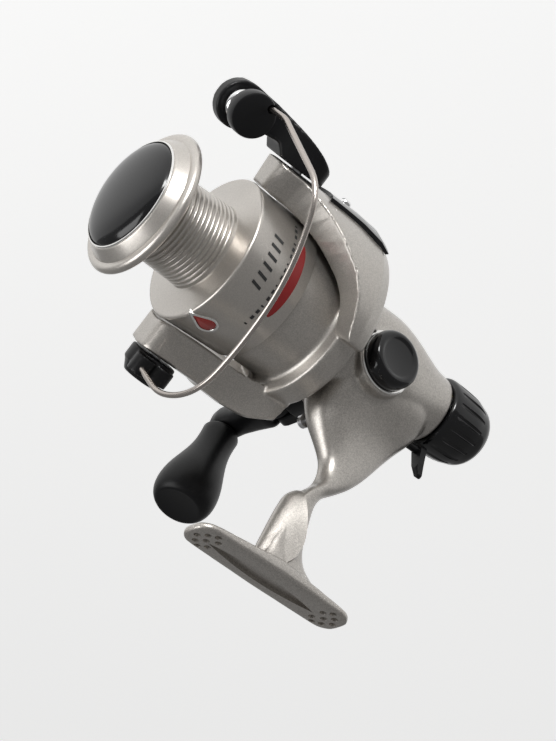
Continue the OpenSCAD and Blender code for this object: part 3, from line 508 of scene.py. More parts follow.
# (height, place of the side edges, half width, place of the nose) of the stem's leaf-shaped front
LEAF_STATIONS = [
    (53.6, -2.6, 2.2, -1.4), (56, -2.6, 4.6, 0.8), (60.5, -3.6, 6.1, 2.4), (66.5, -4.8, 6.7, 4.0),
    (72, -5.0, 6.7, 5.3), (76.5, -3.8, 6.2, 6.4), (79.5, -1.6, 5.4, 7.2), (81, -0.6, 5.0, 7.6),
]


def leaf_front():
    """Wedge-shaped front of the stem; its flanks end in a crisp edge on both sides."""
    rings = []
    for z, edge, half, nose in between(LEAF_STATIONS, 5):
        flank = bend((edge, half), (edge + 0.42 * (nose - edge), 0.74 * half),
                     (nose, 0.50 * half), (nose, 0), 10)
        back = [(edge - 0.5, 0.90 * half), (edge + 0.6, 0.5 * half)]
        outline = flank + [(x, -y) for x, y in flank[-2::-1]]
        outline += [(x, -y) for x, y in back] + back[::-1]
        rings.append([(x, y, z) for x, y in outline])
    return loft(bmesh.new(), rings)


def cut_body_details(body):
    """The leaf-shaped front of the stem, the long recess of the foot and its dimples."""
    body = combine(body, leaf_front(), "UNION")
    recess = slab(bmesh.new(), [(x + 1.5, y + 0.4) for x, y in leaf_outline(42, 5.6)],
                  -AXIS_Z - 1.3, -AXIS_Z + 1)
    body = combine(body, recess)
    dimples = bmesh.new()
    for side in (-1, 1):
        for x, y in ((27.2, 0), (25.4, 2.8), (25.4, -2.8), (23.6, 0), (23.0, 4.6), (23.0, -4.6),
                     (21.0, 2.4), (21.0, -2.4)):
            rod(dimples, 0.85, (side * x, y, -AXIS_Z - 1.1), (side * x, y, -AXIS_Z + 1), 24, r_end=1.25)
    return combine(body, dimples)


def build_body():
    """Housing with stem and foot, and the side cover split off along y."""
    body = cut_body_details(body_form())
    # the main shaft runs out through the rear of the box
    body = combine(body, rod(bmesh.new(), 3.2, (-50, 0, 0), (-38, 0, 0)))
    far = 60.0
    cover_box = box_solid((-far, SPLIT_Y + 0.03, -40), (BODY_FRONT + 0.02, far, 31))
    room_box = box_solid((-far, SPLIT_Y, -41), (BODY_FRONT + 0.06, far, 31.05))
    cover = combine(body.copy(), cover_box, "INTERSECT")
    housing = combine(body, room_box)
    piece(housing, "reel_housing", SPOOL_AXIS, "silver_body", "frame", ["housing"], sharp=40)
    piece(cover, "reel_side_cover", SPOOL_AXIS, "silver_body", "frame", ["side_cover"],
          sharp=40)


# ---------- rotor ----------
ARM_INNER = 24.6
DRUM_R = 21.95
RING_REAR = 5.0
RING_FRONT = 14.0
PIVOT_X = PIVOT.x
ARM_TIP = PIVOT_X + 8.0
ARM_CORNER = 4.5


def arm_slab(half_tip, side, outer_profile):
    """One arm: a rounded plan outline cut out of a thick shell about the spool axis.
    The side runs from the rear of the ring to the straight part of the arm."""
    outline = [(x, -y) for x, y in side]
    for low, turn in ((-half_tip + ARM_CORNER, -90), (half_tip - ARM_CORNER, 0)):
        outline += arc(ARM_TIP - ARM_CORNER, low, ARM_CORNER, turn, turn + 90, 8)
    outline += side[::-1]
    plan = slab(bmesh.new(), outline, 5, 45)
    shell = lathe(bmesh.new(), outer_profile + [outer_profile[0]], 128)
    return combine(plan, shell, "INTERSECT")


def radial_arm():
    """The wide arm's outline, given as (place, degrees from its middle), with sides that face the axis."""
    side = [(RING_REAR - 3, 83.0)] + bend((13.0, 83.0), (16.4, 76.0), (15.4, 60.0), (23.6, 45.0), 12)
    side += bend((23.6, 45.0), (30.0, 33.0), (37.0, 19.0), (43.0, 13.6), 12)[1:]
    side += [(x, y * 1.7) for x, y in arc(ARM_TIP - ARM_CORNER, 8 - ARM_CORNER, ARM_CORNER, 90, 0, 8)]
    outline = side + [(x, -a) for x, a in side[::-1]]
    bm = bmesh.new()
    face = bm.faces.new([bm.verts.new((x, a, 20)) for x, a in outline])
    bmesh.ops.triangulate(bm, faces=[face])
    for cut in range(-81, 82, 3):
        bmesh.ops.bisect_plane(bm, geom=bm.verts[:] + bm.edges[:] + bm.faces[:], plane_co=(0, cut, 0),
                               plane_no=(0, 1, 0))
    grown = bmesh.ops.extrude_face_region(bm, geom=bm.faces[:])
    for vert in [g for g in grown["geom"] if isinstance(g, bmesh.types.BMVert)]:
        vert.co.z = 38
    for vert in bm.verts:
        angle = radians(vert.co.y)
        vert.co = (vert.co.x, vert.co.z * sin(angle), vert.co.z * cos(angle))
    bmesh.ops.recalc_face_normals(bm, faces=bm.faces)
    return bm


def build_rotor():
    """Ring, drum and the two arms in one casting."""
    profile = [
        (4.1, 19.6), (9, 19.6), (9, 22.4), (DRUM_R - 1.4, 22.4), (DRUM_R - 1.4, 9), (17.4, 9),
        (17.4, RING_REAR), (26.0, RING_REAR), (26.6, RING_REAR + 1.0), (26.6, RING_FRONT - 1.6),
        (26.2, RING_FRONT - 1.0),
        (DRUM_R + 0.8, RING_FRONT), (DRUM_R, RING_FRONT + 0.8), (DRUM_R, 37.4), (DRUM_R - 1.4, 37.4),
        (DRUM_R - 1.4, 25), (4.1, 25), (4.1, 19.6),
    ]
    casting = lathe(bmesh.new(), profile, 128)
    pivot_side = [(ARM_INNER, RING_REAR - 1), (ARM_INNER, 58), (34.0, 58), (34.2, 30), (34.8, 29.4),
                  (35.2, 20), (34.6, 12), (31.5, RING_REAR + 0.4), (27, RING_REAR - 0.4)]
    roller_side = [(ARM_INNER, RING_REAR - 1), (ARM_INNER, 58), (34.0, 58), (33.9, 20), (33.2, 11),
                   (31.4, 6.6), (28.8, RING_REAR - 0.2), (26.6, RING_REAR - 1)]
    narrow = [(RING_REAR - 3, 13.0)] + bend((RING_REAR + 3, 13.0), (16, 10.4), (19, 7.9), (31, 7.9), 14)
    join(casting, arm_slab(7.9, narrow, pivot_side))
    roller_arm = combine(radial_arm(), lathe(bmesh.new(), roller_side + [roller_side[0]], 192), "INTERSECT")
    bmesh.ops.transform(roller_arm, matrix=Matrix.Rotation(pi, 4, "X"), verts=roller_arm.verts)
    # flat outer seat for the cover plate
    roller_arm = combine(roller_arm, box_solid((4, -40, -60), (60, 40, -33.95)))
    join(casting, roller_arm)
    casting = melt(casting, 0.5, 3)
    # pocket in the inner face of the pivot arm
    pocket = slab(bmesh.new(), [(x + 30, y) for x, y in leaf_outline(40, 9)], 20, 25.8)
    casting = combine(casting, pocket)
    casting = combine(casting, rod(bmesh.new(), 2.02, (PIVOT_X, 0, -45), (PIVOT_X, 0, 45), 48))
    piece(casting, "reel_rotor", ROTOR, "silver_rotor", "rotor", ["rotor"], sharp=45)


# ---------- spool ----------
SKIRT_REAR = 28.6
FLANGE_X = 51.9
ARBOR_FRONT = 73.6
LIP_X = 76.2
GROOVES = 13
CLIP_ANGLE = radians(5.3)
CLIP_X = 46.0


def skirt_radius(x):
    """Outer radius of the spool's skirt, which widens forward."""
    return 23.1 + (24.0 - 23.1) * (x - SKIRT_REAR) / (51.0 - SKIRT_REAR)


def build_spool():
    """Skirt, flange, grooved arbor, lip and the seat of the dome."""
    arbor = []
    pitch = (ARBOR_FRONT - 53.0) / GROOVES
    for i in range(GROOVES):
        start = 53.0 + i * pitch
        radius = 14.15 - 0.045 * i
        arbor += [(radius, start), (radius, start + 0.42 * pitch)]
        arbor += [(radius - 0.55 * sin(radians(180 * k / 6)), start + (0.42 + 0.58 * k / 6) * pitch)
                  for k in range(1, 6)]
    profile = [(2.55, 46), (5.5, 46), (5.5, 72.8), (12, 72.8), (12, 50.2), (22.35, 50.2),
               (22.2, SKIRT_REAR + 0.3), (22.4, SKIRT_REAR), (22.9, SKIRT_REAR),
               (23.1, SKIRT_REAR + 0.3), (23.9, 50.6)]
    profile += [(24.05, 51.1), (23.95, 51.6), (23.6, 51.95), (23.0, 52.05), (14.9, 52.4), (14.3, 52.6)]
    profile += arbor
    profile += [(13.65, ARBOR_FRONT), (14.2, ARBOR_FRONT + 0.25), (21.2, 74.6)]
    profile += arc(22.0, LIP_X, 1.6, -62, 98, 12)
    profile += [(21.0, 77.75), (20.85, 78.0), (20.7, 78.2), (18.75, 81.1), (18.5, 81.35), (18.2, 81.4),
                (17.95, 81.2), (17.9, 75.2), (5.5, 75.2), (5.5, 78), (2.55, 78), (2.55, 46)]
    spool = lathe(bmesh.new(), profile, 144)
    piece(spool, "reel_spool", SPOOL_AXIS, "silver_spool", "spool", ["spool"], sharp=38)
    dome = [(0, 79.5), (16.4, 79.5), (17.3, 80.6), (17.58, 81.1)]
    dome += [(17.58 * cos(radians(t)), 81.1 + 4.6 * sin(radians(t))) for t in range(6, 91, 6)]
    dome[-1] = (0, 85.7)
    piece(lathe(bmesh.new(), dome, 128), "release_dome", SPOOL_AXIS, "gloss_black", "spool_button",
          ["spool_button"])
    ring = lathe(bmesh.new(), [(17.62, 80.9), (17.9, 80.9), (18.25, 81.5), (18.1, 81.85), (17.75, 81.9),
                               (17.62, 81.6), (17.62, 80.9)], 128)
    piece(ring, "dome_ring", SPOOL_AXIS, "bright_trim", "spool")
    build_skirt_marks()


def wrapped(outline, lift, thickness, step=1.6):
    """A thin patch that follows the skirt; the outline is (x, degrees from the top towards the near side)."""
    bm = bmesh.new()
    face = bm.faces.new([bm.verts.new((x, a, 0)) for x, a in outline])
    bmesh.ops.triangulate(bm, faces=[face])
    low = min(a for _, a in outline)
    high = max(a for _, a in outline)
    cut = low + step
    while cut < high:
        bmesh.ops.bisect_plane(bm, geom=bm.verts[:] + bm.edges[:] + bm.faces[:], plane_co=(0, cut, 0),
                               plane_no=(0, 1, 0))
        cut += step
    grown = bmesh.ops.extrude_face_region(bm, geom=bm.faces[:])
    for vert in [g for g in grown["geom"] if isinstance(g, bmesh.types.BMVert)]:
        vert.co.z = thickness
    for vert in bm.verts:
        radius = skirt_radius(vert.co.x) + lift + vert.co.z
        angle = radians(vert.co.y)
        vert.co = (vert.co.x, -radius * sin(angle), radius * cos(angle))
    bmesh.ops.recalc_face_normals(bm, faces=bm.faces)
    return bm


def build_skirt_marks():
    """Plain printed marks: a row of slanted bars, a row of short ticks and a red lozenge."""
    bars = bmesh.new()
    for i in range(6):
        a = 50 + 7.6 * i
        join(bars, wrapped([(41.6, a), (41.6, a + 2.4), (45.4, a + 4.4), (45.4, a + 2.0)], -0.02, 0.05))
    for i in range(16):
        a = 24 + 5.9 * i
        join(bars, wrapped([(37.0, a), (37.0, a + (3.2 if i % 3 else 1.4)),
                            (38.0, a + (3.2 if i % 3 else 1.4)), (38.0, a)], -0.02, 0.05))
    piece(bars, "skirt_marks", SPOOL_AXIS, "print_black", "spool")
    lozenge = [(33.9 + 2.3 * cos(radians(t)) * (1 if cos(radians(t)) > 0 else 0.8), 69 + 31 * sin(radians(t)))
               for t in range(0, 360, 10)]
    piece(wrapped(lozenge, -0.02, 0.05), "red_lozenge", SPOOL_AXIS, "red_print", "spool")


def drop_outline(scale, count=14):
    """A teardrop with its point forward."""
    radius = 2.75
    tip = 5.7
    touch = degrees(atan2(sqrt(tip ** 2 - radius ** 2), radius))
    outline = [(scale * radius * cos(radians(t)), scale * radius * sin(radians(t)))
               for t in [touch + (360 - 2 * touch) * i / count for i in range(count + 1)]]
    outline += [(scale * (tip - 0.25), -0.22 * scale), (scale * tip, 0), (scale * (tip - 0.25), 0.22 * scale)]
    return outline


def on_skirt():
    """Place of the line clip on the skirt."""
    return (SPOOL_AXIS @ Matrix.Rotation(CLIP_ANGLE, 4, "X")
            @ Matrix.Translation((CLIP_X - 0.8, 0, skirt_radius(CLIP_X)))
            @ Matrix.Rotation(radians(-2.3), 4, "Y"))


def build_clip():
    """Red teardrop line clip in its bright bezel."""
    outer, inner = drop_outline(1.28), drop_outline(0.98)
    bezel = slab(bmesh.new(), outer, -1.2, 0.55)
    bezel = combine(bezel, slab(bmesh.new(), inner, -2, 2))
    piece(bezel, "clip_bezel_ring", on_skirt(), "bright_trim", "spool", ["clip_bezel"],
          bevel=0.16, segments=3)
    drop_form = slab(bmesh.new(), drop_outline(0.94), -1.0, 0.25)
    top = [f for f in drop_form.faces if f.normal.z > 0.9]
    bmesh.ops.inset_region(drop_form, faces=top, thickness=0.55, depth=0.28)
    piece(drop_form, "red_clip", on_skirt(), "red_plastic", "spool", ["line_clip"],
          bevel=0.12, segments=3)


# ---------- bail ----------
ROLLER_X = 69
ROLLER_Z = -39.5
# runs and right bends of the bail wire: (length, 0) or (radius, degrees)
WIRE_BENDS = [(7.4, 0), (10, 20), (22, 0), (15, 52), (60, 30), (110, 12), (28, 50), (18, 27), (11, 0)]


def wire_place():
    """Place of the bail wire on the rotor."""
    return (ROTOR @ Matrix.Translation((66, -7, -44)) @ Matrix.Rotation(radians(-11.7), 4, "Y")
            @ Matrix.Rotation(radians(-9.3), 4, "Z") @ Matrix.Rotation(pi, 4, (1, 0, 1)))


def wire_form(radius):
    """A round wire that follows runs (length, 0) and right bends (radius, degrees) in one plane."""
    bm = bmesh.new()
    at, heading = Vector((0, 0, 0)), 0.0
    bmesh.ops.create_circle(bm, segments=24, radius=radius, cap_ends=True,
                            matrix=Matrix.Rotation(-pi / 2, 4, "X"))
    face = bm.faces[:]
    for reach, turn in WIRE_BENDS:
        steps = max(1, round(turn / 1.5))
        for _ in range(steps):
            part = radians(turn / steps)
            step = 2 * reach * sin(part / 2) if turn else reach
            middle = heading + part / 2
            move = Vector((step * sin(middle), step * cos(middle), 0))
            grown = bmesh.ops.extrude_face_region(bm, geom=face)
            verts = [g for g in grown["geom"] if isinstance(g, bmesh.types.BMVert)]
            if at.length:
                bmesh.ops.delete(bm, geom=face, context="FACES_ONLY")
            bmesh.ops.rotate(bm, verts=verts, cent=at, matrix=Matrix.Rotation(-part, 3, "Z"))
            bmesh.ops.translate(bm, vec=move, verts=verts)
            face = [g for g in grown["geom"] if isinstance(g, bmesh.types.BMFace)]
            at = at + move
            heading += part
    bmesh.ops.recalc_face_normals(bm, faces=bm.faces)
    return bm


def build_bail(wire_radius):
    """Wire, lever with its roller head, roller cap, roller and pivot block."""
    piece(wire_form(wire_radius), "bail_hoop", wire_place(), "wire_steel", "bail", ["bail_wire"],
          sharp=50)
    side = [(35.2, -34.5), (35.0, -37.6), (36.2, -39.2)]
    side += bend((36.2, -39.2), (43, -43.2), (50, -44.8), (60, -46.4), 10)[1:]
    side += [(68, -47.1), (72, -46.4), (73, -40), (66, -33.6), (60, -36.6), (54.5, -37.6), (52.2, -34.5)]
    lever = slab(bmesh.new(), side, -20, 20, "XZ")
    plan = bend((35.0, 0.0), (34.8, -9.6), (45, -9.4), (52, -4.6), 10)
    plan += bend((52, -4.6), (57, -0.6), (60, 1.6), (64, 3.3), 6)[1:]
    plan += [(76, 3.3), (76, 7.8), (64, 7.9)]
    plan += bend((64, 7.9), (56, 8.8), (35.4, 10.0), (35.0, 0.0), 12)[1:-1]
    lever = combine(lever, slab(bmesh.new(), plan, -60, -20), "INTERSECT")
    rod(lever, 7.4, (ROLLER_X, 3.3, ROLLER_Z), (ROLLER_X, 7.8, ROLLER_Z), 64)
    lever = melt(lever, 0.45, 7)
    lever = combine(lever, rod(bmesh.new(), 2.05, (PIVOT_X, 0, -60), (PIVOT_X, 0, -20), 48))
    lever = combine(lever, rod(bmesh.new(), 3.4, (PIVOT_X, 0, -60), (PIVOT_X, 0, -40.6), 48))
    piece(lever, "bail_arm_lever", ROTOR, "satin_black", "bail", ["bail_lever"], sharp=50)
    cap = [(0, 3.25), (6.2, 3.25), (6.9, 3.7), (7.0, 4.2), (7.0, 7.2), (6.8, 7.9), (6.2, 8.3), (0, 8.35)]
    cap_form = lathe(bmesh.new(), cap, 96, "Y")
    cap_place = Matrix.Translation((ROLLER_X, 0, ROLLER_Z)) @ Matrix.Rotation(pi, 4, "Z")
    bmesh.ops.transform(cap_form, matrix=cap_place, verts=cap_form.verts)
    socket = ball(bmesh.new(), 1.6, (66.0, -7.4, -44.0), 24)
    cap_form = combine(cap_form, socket)
    piece(cap_form, "roller_cap_disc", ROTOR, "satin_black", "bail", ["roller_cap"], sharp=40)
    roller = [(1.55, -3), (5.0, -3), (5.2, -2.8), (5.2, -2.0), (4.6, -1.0), (3.8, -0.45), (3.7, 0),
              (3.8, 0.45), (4.6, 1.0), (5.2, 2.0), (5.2, 2.8), (5.0, 3), (1.55, 3), (1.55, -3)]
    roller_form = lathe(bmesh.new(), roller, 96, "Y")
    bmesh.ops.translate(roller_form, vec=(ROLLER_X, 0, ROLLER_Z), verts=roller_form.verts)
    piece(roller_form, "line_roller_wheel", ROTOR, "chrome", "line_roller", ["line_roller"])
    block = bmesh.new()
    rod(block, 7.6, (PIVOT_X, 0, 34.5), (PIVOT_X, 0, 39.5), 64)
    rod(block, 7.2, (PIVOT_X, 0, 39.4), (PIVOT_X, 0, 42.8), 64, r_end=5.2)
    rod(block, 3.6, (PIVOT_X + 4.2, -5.4, 35.6), (PIVOT_X + 4.2, -5.4, 41.2), 48)
    rod(block, 3.4, (PIVOT_X - 2.0, -6.4, 35.4), (PIVOT_X - 2.0, -6.4, 40.6), 48)
    block = melt(block, 0.4, 5)
    block = combine(block, rod(bmesh.new(), 2.05, (PIVOT_X, 0, 20), (PIVOT_X, 0, 60), 48))
    block = combine(block, rod(bmesh.new(), 3.4, (PIVOT_X, 0, 40.6), (PIVOT_X, 0, 60), 48))
    piece(block, "bail_pivot_block", ROTOR, "satin_black", "bail", ["pivot_block"], sharp=50)


def build_arm_cover():
    """Black cover plate on the roller arm, and its screw."""
    outline = [(7.5, -12.5)]
    outline += bend((7.5, -12.5), (17, -10.6), (21, -7.6), (33, -7.2), 10)[1:]
    outline += [(34.2, -6.4), (34.2, 6.4)]
    outline += bend((33, 7.2), (21, 7.6), (17, 10.6), (7.5, 12.5), 10)
    plate = slab(bmesh.new(), outline, -40, -20)
    skin = [(33.75, 36), (35.1, 36), (35.1, 19), (34.6, 12), (33.4, 8.4), (32.7, 9.2), (33.3, 12.4),
            (33.75, 19), (33.75, 36)]
    plate = combine(plate, lathe(bmesh.new(), skin, 192), "INTERSECT")
    # round cut-out that the lever swings in
    plate = combine(plate, rod(bmesh.new(), 13.4, (PIVOT_X, 0, -50), (PIVOT_X, 0, -20), 64))
    piece(plate, "arm_cover_plate", ROTOR, "gloss_black", "rotor", ["arm_cover"],
          bevel=0.5, segments=4)
    head = [(0, -36.3), (1.0, -36.25), (1.6, -35.9), (1.85, -35.4), (1.85, -34.3), (0.78, -34.3),
            (0.78, -30), (0, -30)]
    screw = lathe(bmesh.new(), head, 48, "Z")
    bmesh.ops.translate(screw, vec=(20, 7, 0), verts=screw.verts)
    screw = combine(screw, box_solid((18, 6.75, -38), (22, 7.25, -35.7)))
    piece(screw, "arm_cover_screw_head", ROTOR, "chrome", "rotor", ["arm_cover_screw"])


# ---------- drag knob and dust cap ----------
def build_rear():
    """Drag knob with shallow grooves, and the dust cap with its bright rim."""
    low, high = span("drag_knob", 0)
    radius = 12.2
    knob = bmesh.new()
    ribs = 18
    rings = []
    stations = [(high, radius - 1.0), (high - 0.5, radius - 0.35), (high - 2, radius),
                (high - 6, radius - 0.1), (high - 11, radius - 0.5), (low + 6, radius - 1.3),
                (low + 3.4, radius - 2.2),
                (low + 1.4, radius - 3.9), (low + 0.4, radius - 6.0), (low, radius - 8.5)]
    for x, r in between(stations, 3):
        rings.append([(x, r * cos(2 * pi * i / 180), r * sin(2 * pi * i / 180)) for i in range(180)])
    loft(knob, rings)
    grooves = bmesh.new()
    for i in range(ribs):
        a = 2 * pi * i / ribs
        rod(grooves, 0.8, (high - 2.6, (radius + 0.62) * cos(a), (radius + 0.62) * sin(a)),
            (low + 6, (radius - 0.85) * cos(a), (radius - 0.85) * sin(a)), 20, r_end=0.6)
    knob = combine(knob, grooves)
    hollow = [(0, high + 1), (10.2, high + 1), (10.2, high - 8.6), (8.2, high - 8.6),
              (8.2, high - 14.6), (0, high - 14.6)]
    knob = combine(knob, lathe(bmesh.new(), hollow, 96))
    piece(knob, "drag_knob_grip", SPOOL_AXIS, "gloss_black", "drag_knob", ["drag_knob"],
          sharp=50)
    at = DRIVE.z - AXIS_Z
    cap = [(0, -15.0), (6.4, -15.0), (8.9, -15.1), (9.1, -15.5), (9.1, -18.4), (8.8, -19.7), (8.2, -20.5),
           (7.4, -20.9), (6.7, -20.9), (6.1, -20.5), (5.4, -20.3), (0, -20.2)]
    cap_form = lathe(bmesh.new(), cap, 96, "Y")
    bmesh.ops.translate(cap_form, vec=(DRIVE.x, 0, at), verts=cap_form.verts)
    piece(cap_form, "dust_cap_dome", SPOOL_AXIS, "gloss_black", "frame", ["dust_cap"],
          sharp=60)
    rim = lathe(bmesh.new(), [(9.15, -15.0), (9.9, -15.0), (9.95, -15.3), (9.6, -15.6), (9.2, -15.6),
                              (9.15, -15.0)], 96, "Y")
    bmesh.ops.translate(rim, vec=(DRIVE.x, 0, at), verts=rim.verts)
    piece(rim, "dust_cap_rim", SPOOL_AXIS, "bright_trim", "frame")


# ---------- handle ----------
def build_handle():
    """Hub, folding crank arm and drumstick knob."""
    hub = bmesh.new()
    rod(hub, 6.3, (0, 15.0, 0), (0, FOLD_Y - 5.6, 0), 64)
    for side in (-1, 1):
        slab(hub, arc(FOLD_Y, 0, 4.9, -90, 90, 16) + [(FOLD_Y - 7, 4.9), (FOLD_Y - 7, -4.9)],
             side * 4.3 - 1.65, side * 4.3 + 1.65, "YZ")
    hub = melt(hub, 0.4, 3)
    piece(hub, "handle_hub_fork", HANDLE, "satin_black", "crank", ["handle_hub"], sharp=45)
    reach = (KNOB_AT - DRIVE).length
    arm = bmesh.new()
    slab(arm, arc(FOLD_Y, 0, 4.6, 90, 270, 16) + [(FOLD_Y + 7, -4.4), (FOLD_Y + 7, 4.4)], -2.4, 2.4, "YZ")
    rings = []
    for y, half, thick in ((FOLD_Y + 5.4, 5.6, 5.2), (FOLD_Y + 7, 6.2, 5.4), (FOLD_Y + 14, 5.4, 4.8),
                           (reach - 6, 4.9, 4.6), (reach, 5.2, 4.6), (reach + 3.4, 4.4, 4.4),
                           (reach + 5.2, 2.6, 3.2)):
        rings.append([(half * c, y, thick * s) for c, s in rounded(40, 2.6)])
    loft(arm, rings)
    arm = melt(arm, 0.45, 4)
    piece(arm, "crank_arm_bar", HANDLE, "satin_black", "crank_arm", ["crank_arm"], sharp=45)
    low, high = 4.7, 37.6
    knob = [(0, low), (5.3, low), (5.8, low + 0.5)]
    knob += bend((6.0, low + 1.0), (5.6, low + 8), (6.4, low + 11), (8.5, high - 15), 10)
    knob += bend((8.5, high - 15), (10.7, high - 8), (10.6, high - 2.5), (7.9, high - 0.4), 10)[1:]
    knob += [(7.2, high - 0.1), (6.6, high - 0.35), (0, high)]
    knob_form = lathe(bmesh.new(), knob, 96, "Z")
    bmesh.ops.translate(knob_form, vec=(0, reach, 0), verts=knob_form.verts)
    piece(knob_form, "handle_knob_grip", HANDLE, "soft_black", "handle_knob", ["handle_knob"],
          sharp=60)


# ---------- stage ----------
CAMERA_RIGHT = Vector((-0.7112, -0.6662, -0.2242))
CAMERA_UP = Vector((0.5053, -0.2627, -0.8220))
CAMERA_BACK = Vector((0.4887, -0.6979, 0.5235))
CAMERA_FROM = Vector((0.4766, -0.6589, 0.4303))
LENS_MM = 155.5
SENSOR_MM = 36.0
FLOOR_HALF = 3.0
FLOOR_GLOW = 0.52
ROOM_LIGHT = 0.26
KEY_WATTS = 15.0
FILL_WATTS = 4.0


def soft_light(name, place, target, size, power):
    """A square area light that faces its target."""
    data = bpy.data.lights.new(name, "AREA")
    data.shape = "RECTANGLE"
    data.size = size
    data.size_y = size
    data.energy = power
    lamp = bpy.data.objects.new(name, data)
    lamp.location = place
    lamp.rotation_euler = (Vector(place) - Vector(target)).to_track_quat("Z", "Y").to_euler()
    bpy.context.scene.collection.objects.link(lamp)
    return lamp


def build_stage(floor_drop):
    """Pale floor, soft studio light and the camera."""
    centre = (CAD_BOX[0] + CAD_BOX[1]) / 2
    floor_bm = bmesh.new()
    bmesh.ops.create_grid(floor_bm, x_segments=1, y_segments=1, size=FLOOR_HALF)
    floor = to_object(floor_bm, "floor")
    floor.location = (0, 0, CAD_BOX[0].z - floor_drop)
    mat, _, shader = finish_node("pale_floor", (0.93, 0.93, 0.92), 0.0, 0.8)
    shader.inputs["Emission Color"].default_value = (1, 1, 1, 1)
    shader.inputs["Emission Strength"].default_value = FLOOR_GLOW
    floor.data.materials.append(mat)
    world = bpy.data.worlds.new("studio")
    world.use_nodes = True
    world.node_tree.nodes["Background"].inputs["Color"].default_value = (1, 1, 1, 1)
    world.node_tree.nodes["Background"].inputs["Strength"].default_value = ROOM_LIGHT
    bpy.context.scene.world = world
    scene = bpy.context.scene
    scene.view_settings.view_transform = "Standard"
    # the key comes from the top of the view, a broad fill from the camera's side
    key_way = (CAMERA_UP * 0.8 + CAMERA_BACK * 0.5 + CAMERA_RIGHT * 0.1).normalized()
    soft_light("key", centre + key_way * 0.9, centre, 0.42, KEY_WATTS)
    soft_light("fill", centre - CAMERA_RIGHT * 0.8 + CAMERA_BACK * 0.4, centre, 0.6, FILL_WATTS)
    data = bpy.data.cameras.new("view")
    data.lens = LENS_MM
    data.sensor_fit = "VERTICAL"
    data.sensor_height = SENSOR_MM
    camera = bpy.data.objects.new("view", data)
    camera.matrix_world = Matrix((
        (CAMERA_RIGHT.x, CAMERA_UP.x, CAMERA_BACK.x, CAMERA_FROM.x),
        (CAMERA_RIGHT.y, CAMERA_UP.y, CAMERA_BACK.y, CAMERA_FROM.y),
        (CAMERA_RIGHT.z, CAMERA_UP.z, CAMERA_BACK.z, CAMERA_FROM.z),
        (0, 0, 0, 1),
    ))
    bpy.context.scene.collection.objects.link(camera)
    bpy.context.scene.camera = camera
    data.clip_end = 10


# ---------- add-on: settings, operators and panel ----------
class ReelSizes(bpy.types.PropertyGroup):
    """Sizes that can be changed without touching the frame."""
    floor_drop: bpy.props.FloatProperty(
        name="Floor drop", description="Height of the reel's lowest point above the floor",
        default=0.30, min=0.0, unit="LENGTH")
    wire: bpy.props.FloatProperty(
        name="Bail wire", description="Diameter of the bail wire", default=0.0018, unit="LENGTH")


class ReelColours(bpy.types.PropertyGroup):
    """Colours of the main finishes."""
    silver: bpy.props.FloatVectorProperty(
        name="Silver", description="Paint of the body, rotor and spool", subtype="COLOR",
        default=(0.44, 0.415, 0.385), min=0, max=1)
    black: bpy.props.FloatVectorProperty(
        name="Black", description="Moulded black pieces", subtype="COLOR",
        default=(0.004, 0.004, 0.0045), min=0, max=1)
    red: bpy.props.FloatVectorProperty(
        name="Red", description="Line clip and printed lozenge", subtype="COLOR",
        default=(0.30, 0.02, 0.015), min=0, max=1)


def finish_cad_nodes():
    """Gives every CAD node the finish of its slot."""
    for name, obj in NODES.items():
        slot = NODE_SLOT[name]
        finish = "satin_black" if name == "fold_pin" else CAD_FINISH.get(slot, slot)
        obj.data.materials.clear()
        obj.data.materials.append(FINISH[finish])


class REEL_OT_finishes(bpy.types.Operator):
    """Makes the materials and puts them on the frame's nodes"""
    bl_idname = "reel.finishes"
    bl_label = "Finishes"

    def execute(self, context):
        make_finishes(context.scene.reel_colours)
        finish_cad_nodes()
        return {"FINISHED"}


class REEL_OT_body(bpy.types.Operator):
    """Builds the housing, the stem, the foot and the side cover"""
    bl_idname = "reel.body"
    bl_label = "Body"

    def execute(self, context):
        build_body()
        return {"FINISHED"}


class REEL_OT_rotor(bpy.types.Operator):
    """Builds the rotor casting"""
    bl_idname = "reel.rotor"
    bl_label = "Rotor"

    def execute(self, context):
        build_rotor()
        return {"FINISHED"}


class REEL_OT_spool(bpy.types.Operator):
    """Builds the spool, its dome and its marks"""
    bl_idname = "reel.spool"
    bl_label = "Spool"

    def execute(self, context):
        build_spool()
        return {"FINISHED"}


class REEL_OT_clip(bpy.types.Operator):
    """Builds the line clip and its bezel"""
    bl_idname = "reel.clip"
    bl_label = "Line clip"

    def execute(self, context):
        build_clip()
        return {"FINISHED"}


class REEL_OT_bail(bpy.types.Operator):
    """Builds the wire, the lever, the roller and the pivot block"""
    bl_idname = "reel.bail"
    bl_label = "Bail"

    def execute(self, context):
        build_bail(context.scene.reel_sizes.wire / MM / 2)
        return {"FINISHED"}


class REEL_OT_arm_cover(bpy.types.Operator):
    """Builds the cover plate on the roller arm and its screw"""
    bl_idname = "reel.arm_cover"
    bl_label = "Arm cover"

    def execute(self, context):
        build_arm_cover()
        return {"FINISHED"}


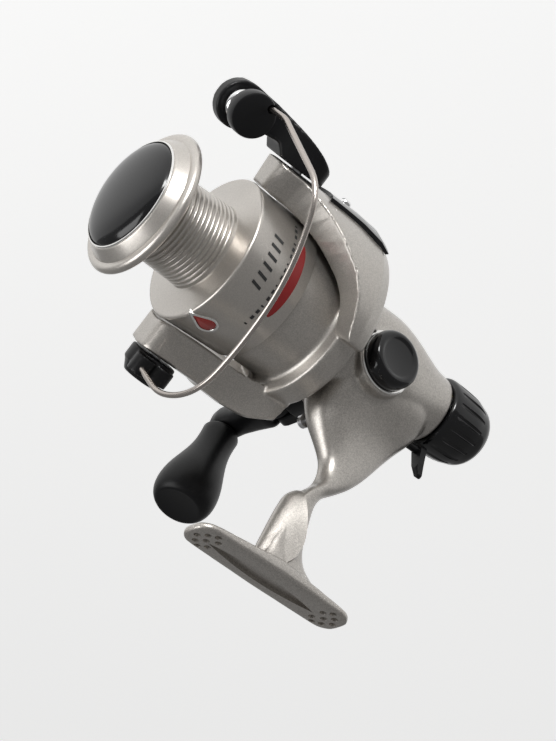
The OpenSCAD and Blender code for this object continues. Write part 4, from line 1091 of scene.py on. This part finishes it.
class REEL_OT_rear(bpy.types.Operator):
    """Builds the drag knob and the dust cap"""
    bl_idname = "reel.rear"
    bl_label = "Rear"

    def execute(self, context):
        build_rear()
        return {"FINISHED"}


class REEL_OT_handle(bpy.types.Operator):
    """Builds the hub, the crank arm and the knob"""
    bl_idname = "reel.handle"
    bl_label = "Handle"

    def execute(self, context):
        build_handle()
        return {"FINISHED"}


class REEL_OT_stage(bpy.types.Operator):
    """Adds the floor, the lights and the camera"""
    bl_idname = "reel.stage"
    bl_label = "Stage"

    def execute(self, context):
        build_stage(context.scene.reel_sizes.floor_drop)
        return {"FINISHED"}


OPERATORS = [
    REEL_OT_finishes, REEL_OT_body, REEL_OT_rotor, REEL_OT_spool, REEL_OT_clip, REEL_OT_bail,
    REEL_OT_arm_cover, REEL_OT_rear, REEL_OT_handle, REEL_OT_stage,
]


class REEL_PT_panel(bpy.types.Panel):
    """Lists the building steps in the sidebar."""
    bl_label = "Reel"
    bl_idname = "REEL_PT_panel"
    bl_space_type = "VIEW_3D"
    bl_region_type = "UI"
    bl_category = "Reel"

    def draw(self, context):
        for settings in (context.scene.reel_sizes, context.scene.reel_colours):
            for name in settings.__annotations__:
                self.layout.prop(settings, name)
        for made in OPERATORS:
            self.layout.operator(made.bl_idname)


CLASSES = [ReelSizes, ReelColours, *OPERATORS, REEL_PT_panel]


def register():
    for made in CLASSES:
        bpy.utils.register_class(made)
    bpy.types.Scene.reel_sizes = bpy.props.PointerProperty(type=ReelSizes)
    bpy.types.Scene.reel_colours = bpy.props.PointerProperty(type=ReelColours)


def unregister():
    del bpy.types.Scene.reel_colours
    del bpy.types.Scene.reel_sizes
    for made in reversed(CLASSES):
        bpy.utils.unregister_class(made)


def main():
    register()
    bpy.ops.reel.finishes()
    bpy.ops.reel.body()
    bpy.ops.reel.rotor()
    bpy.ops.reel.spool()
    bpy.ops.reel.clip()
    bpy.ops.reel.bail()
    bpy.ops.reel.arm_cover()
    bpy.ops.reel.rear()
    bpy.ops.reel.handle()
    bpy.ops.reel.stage()


if __name__ == "__main__":
    main()
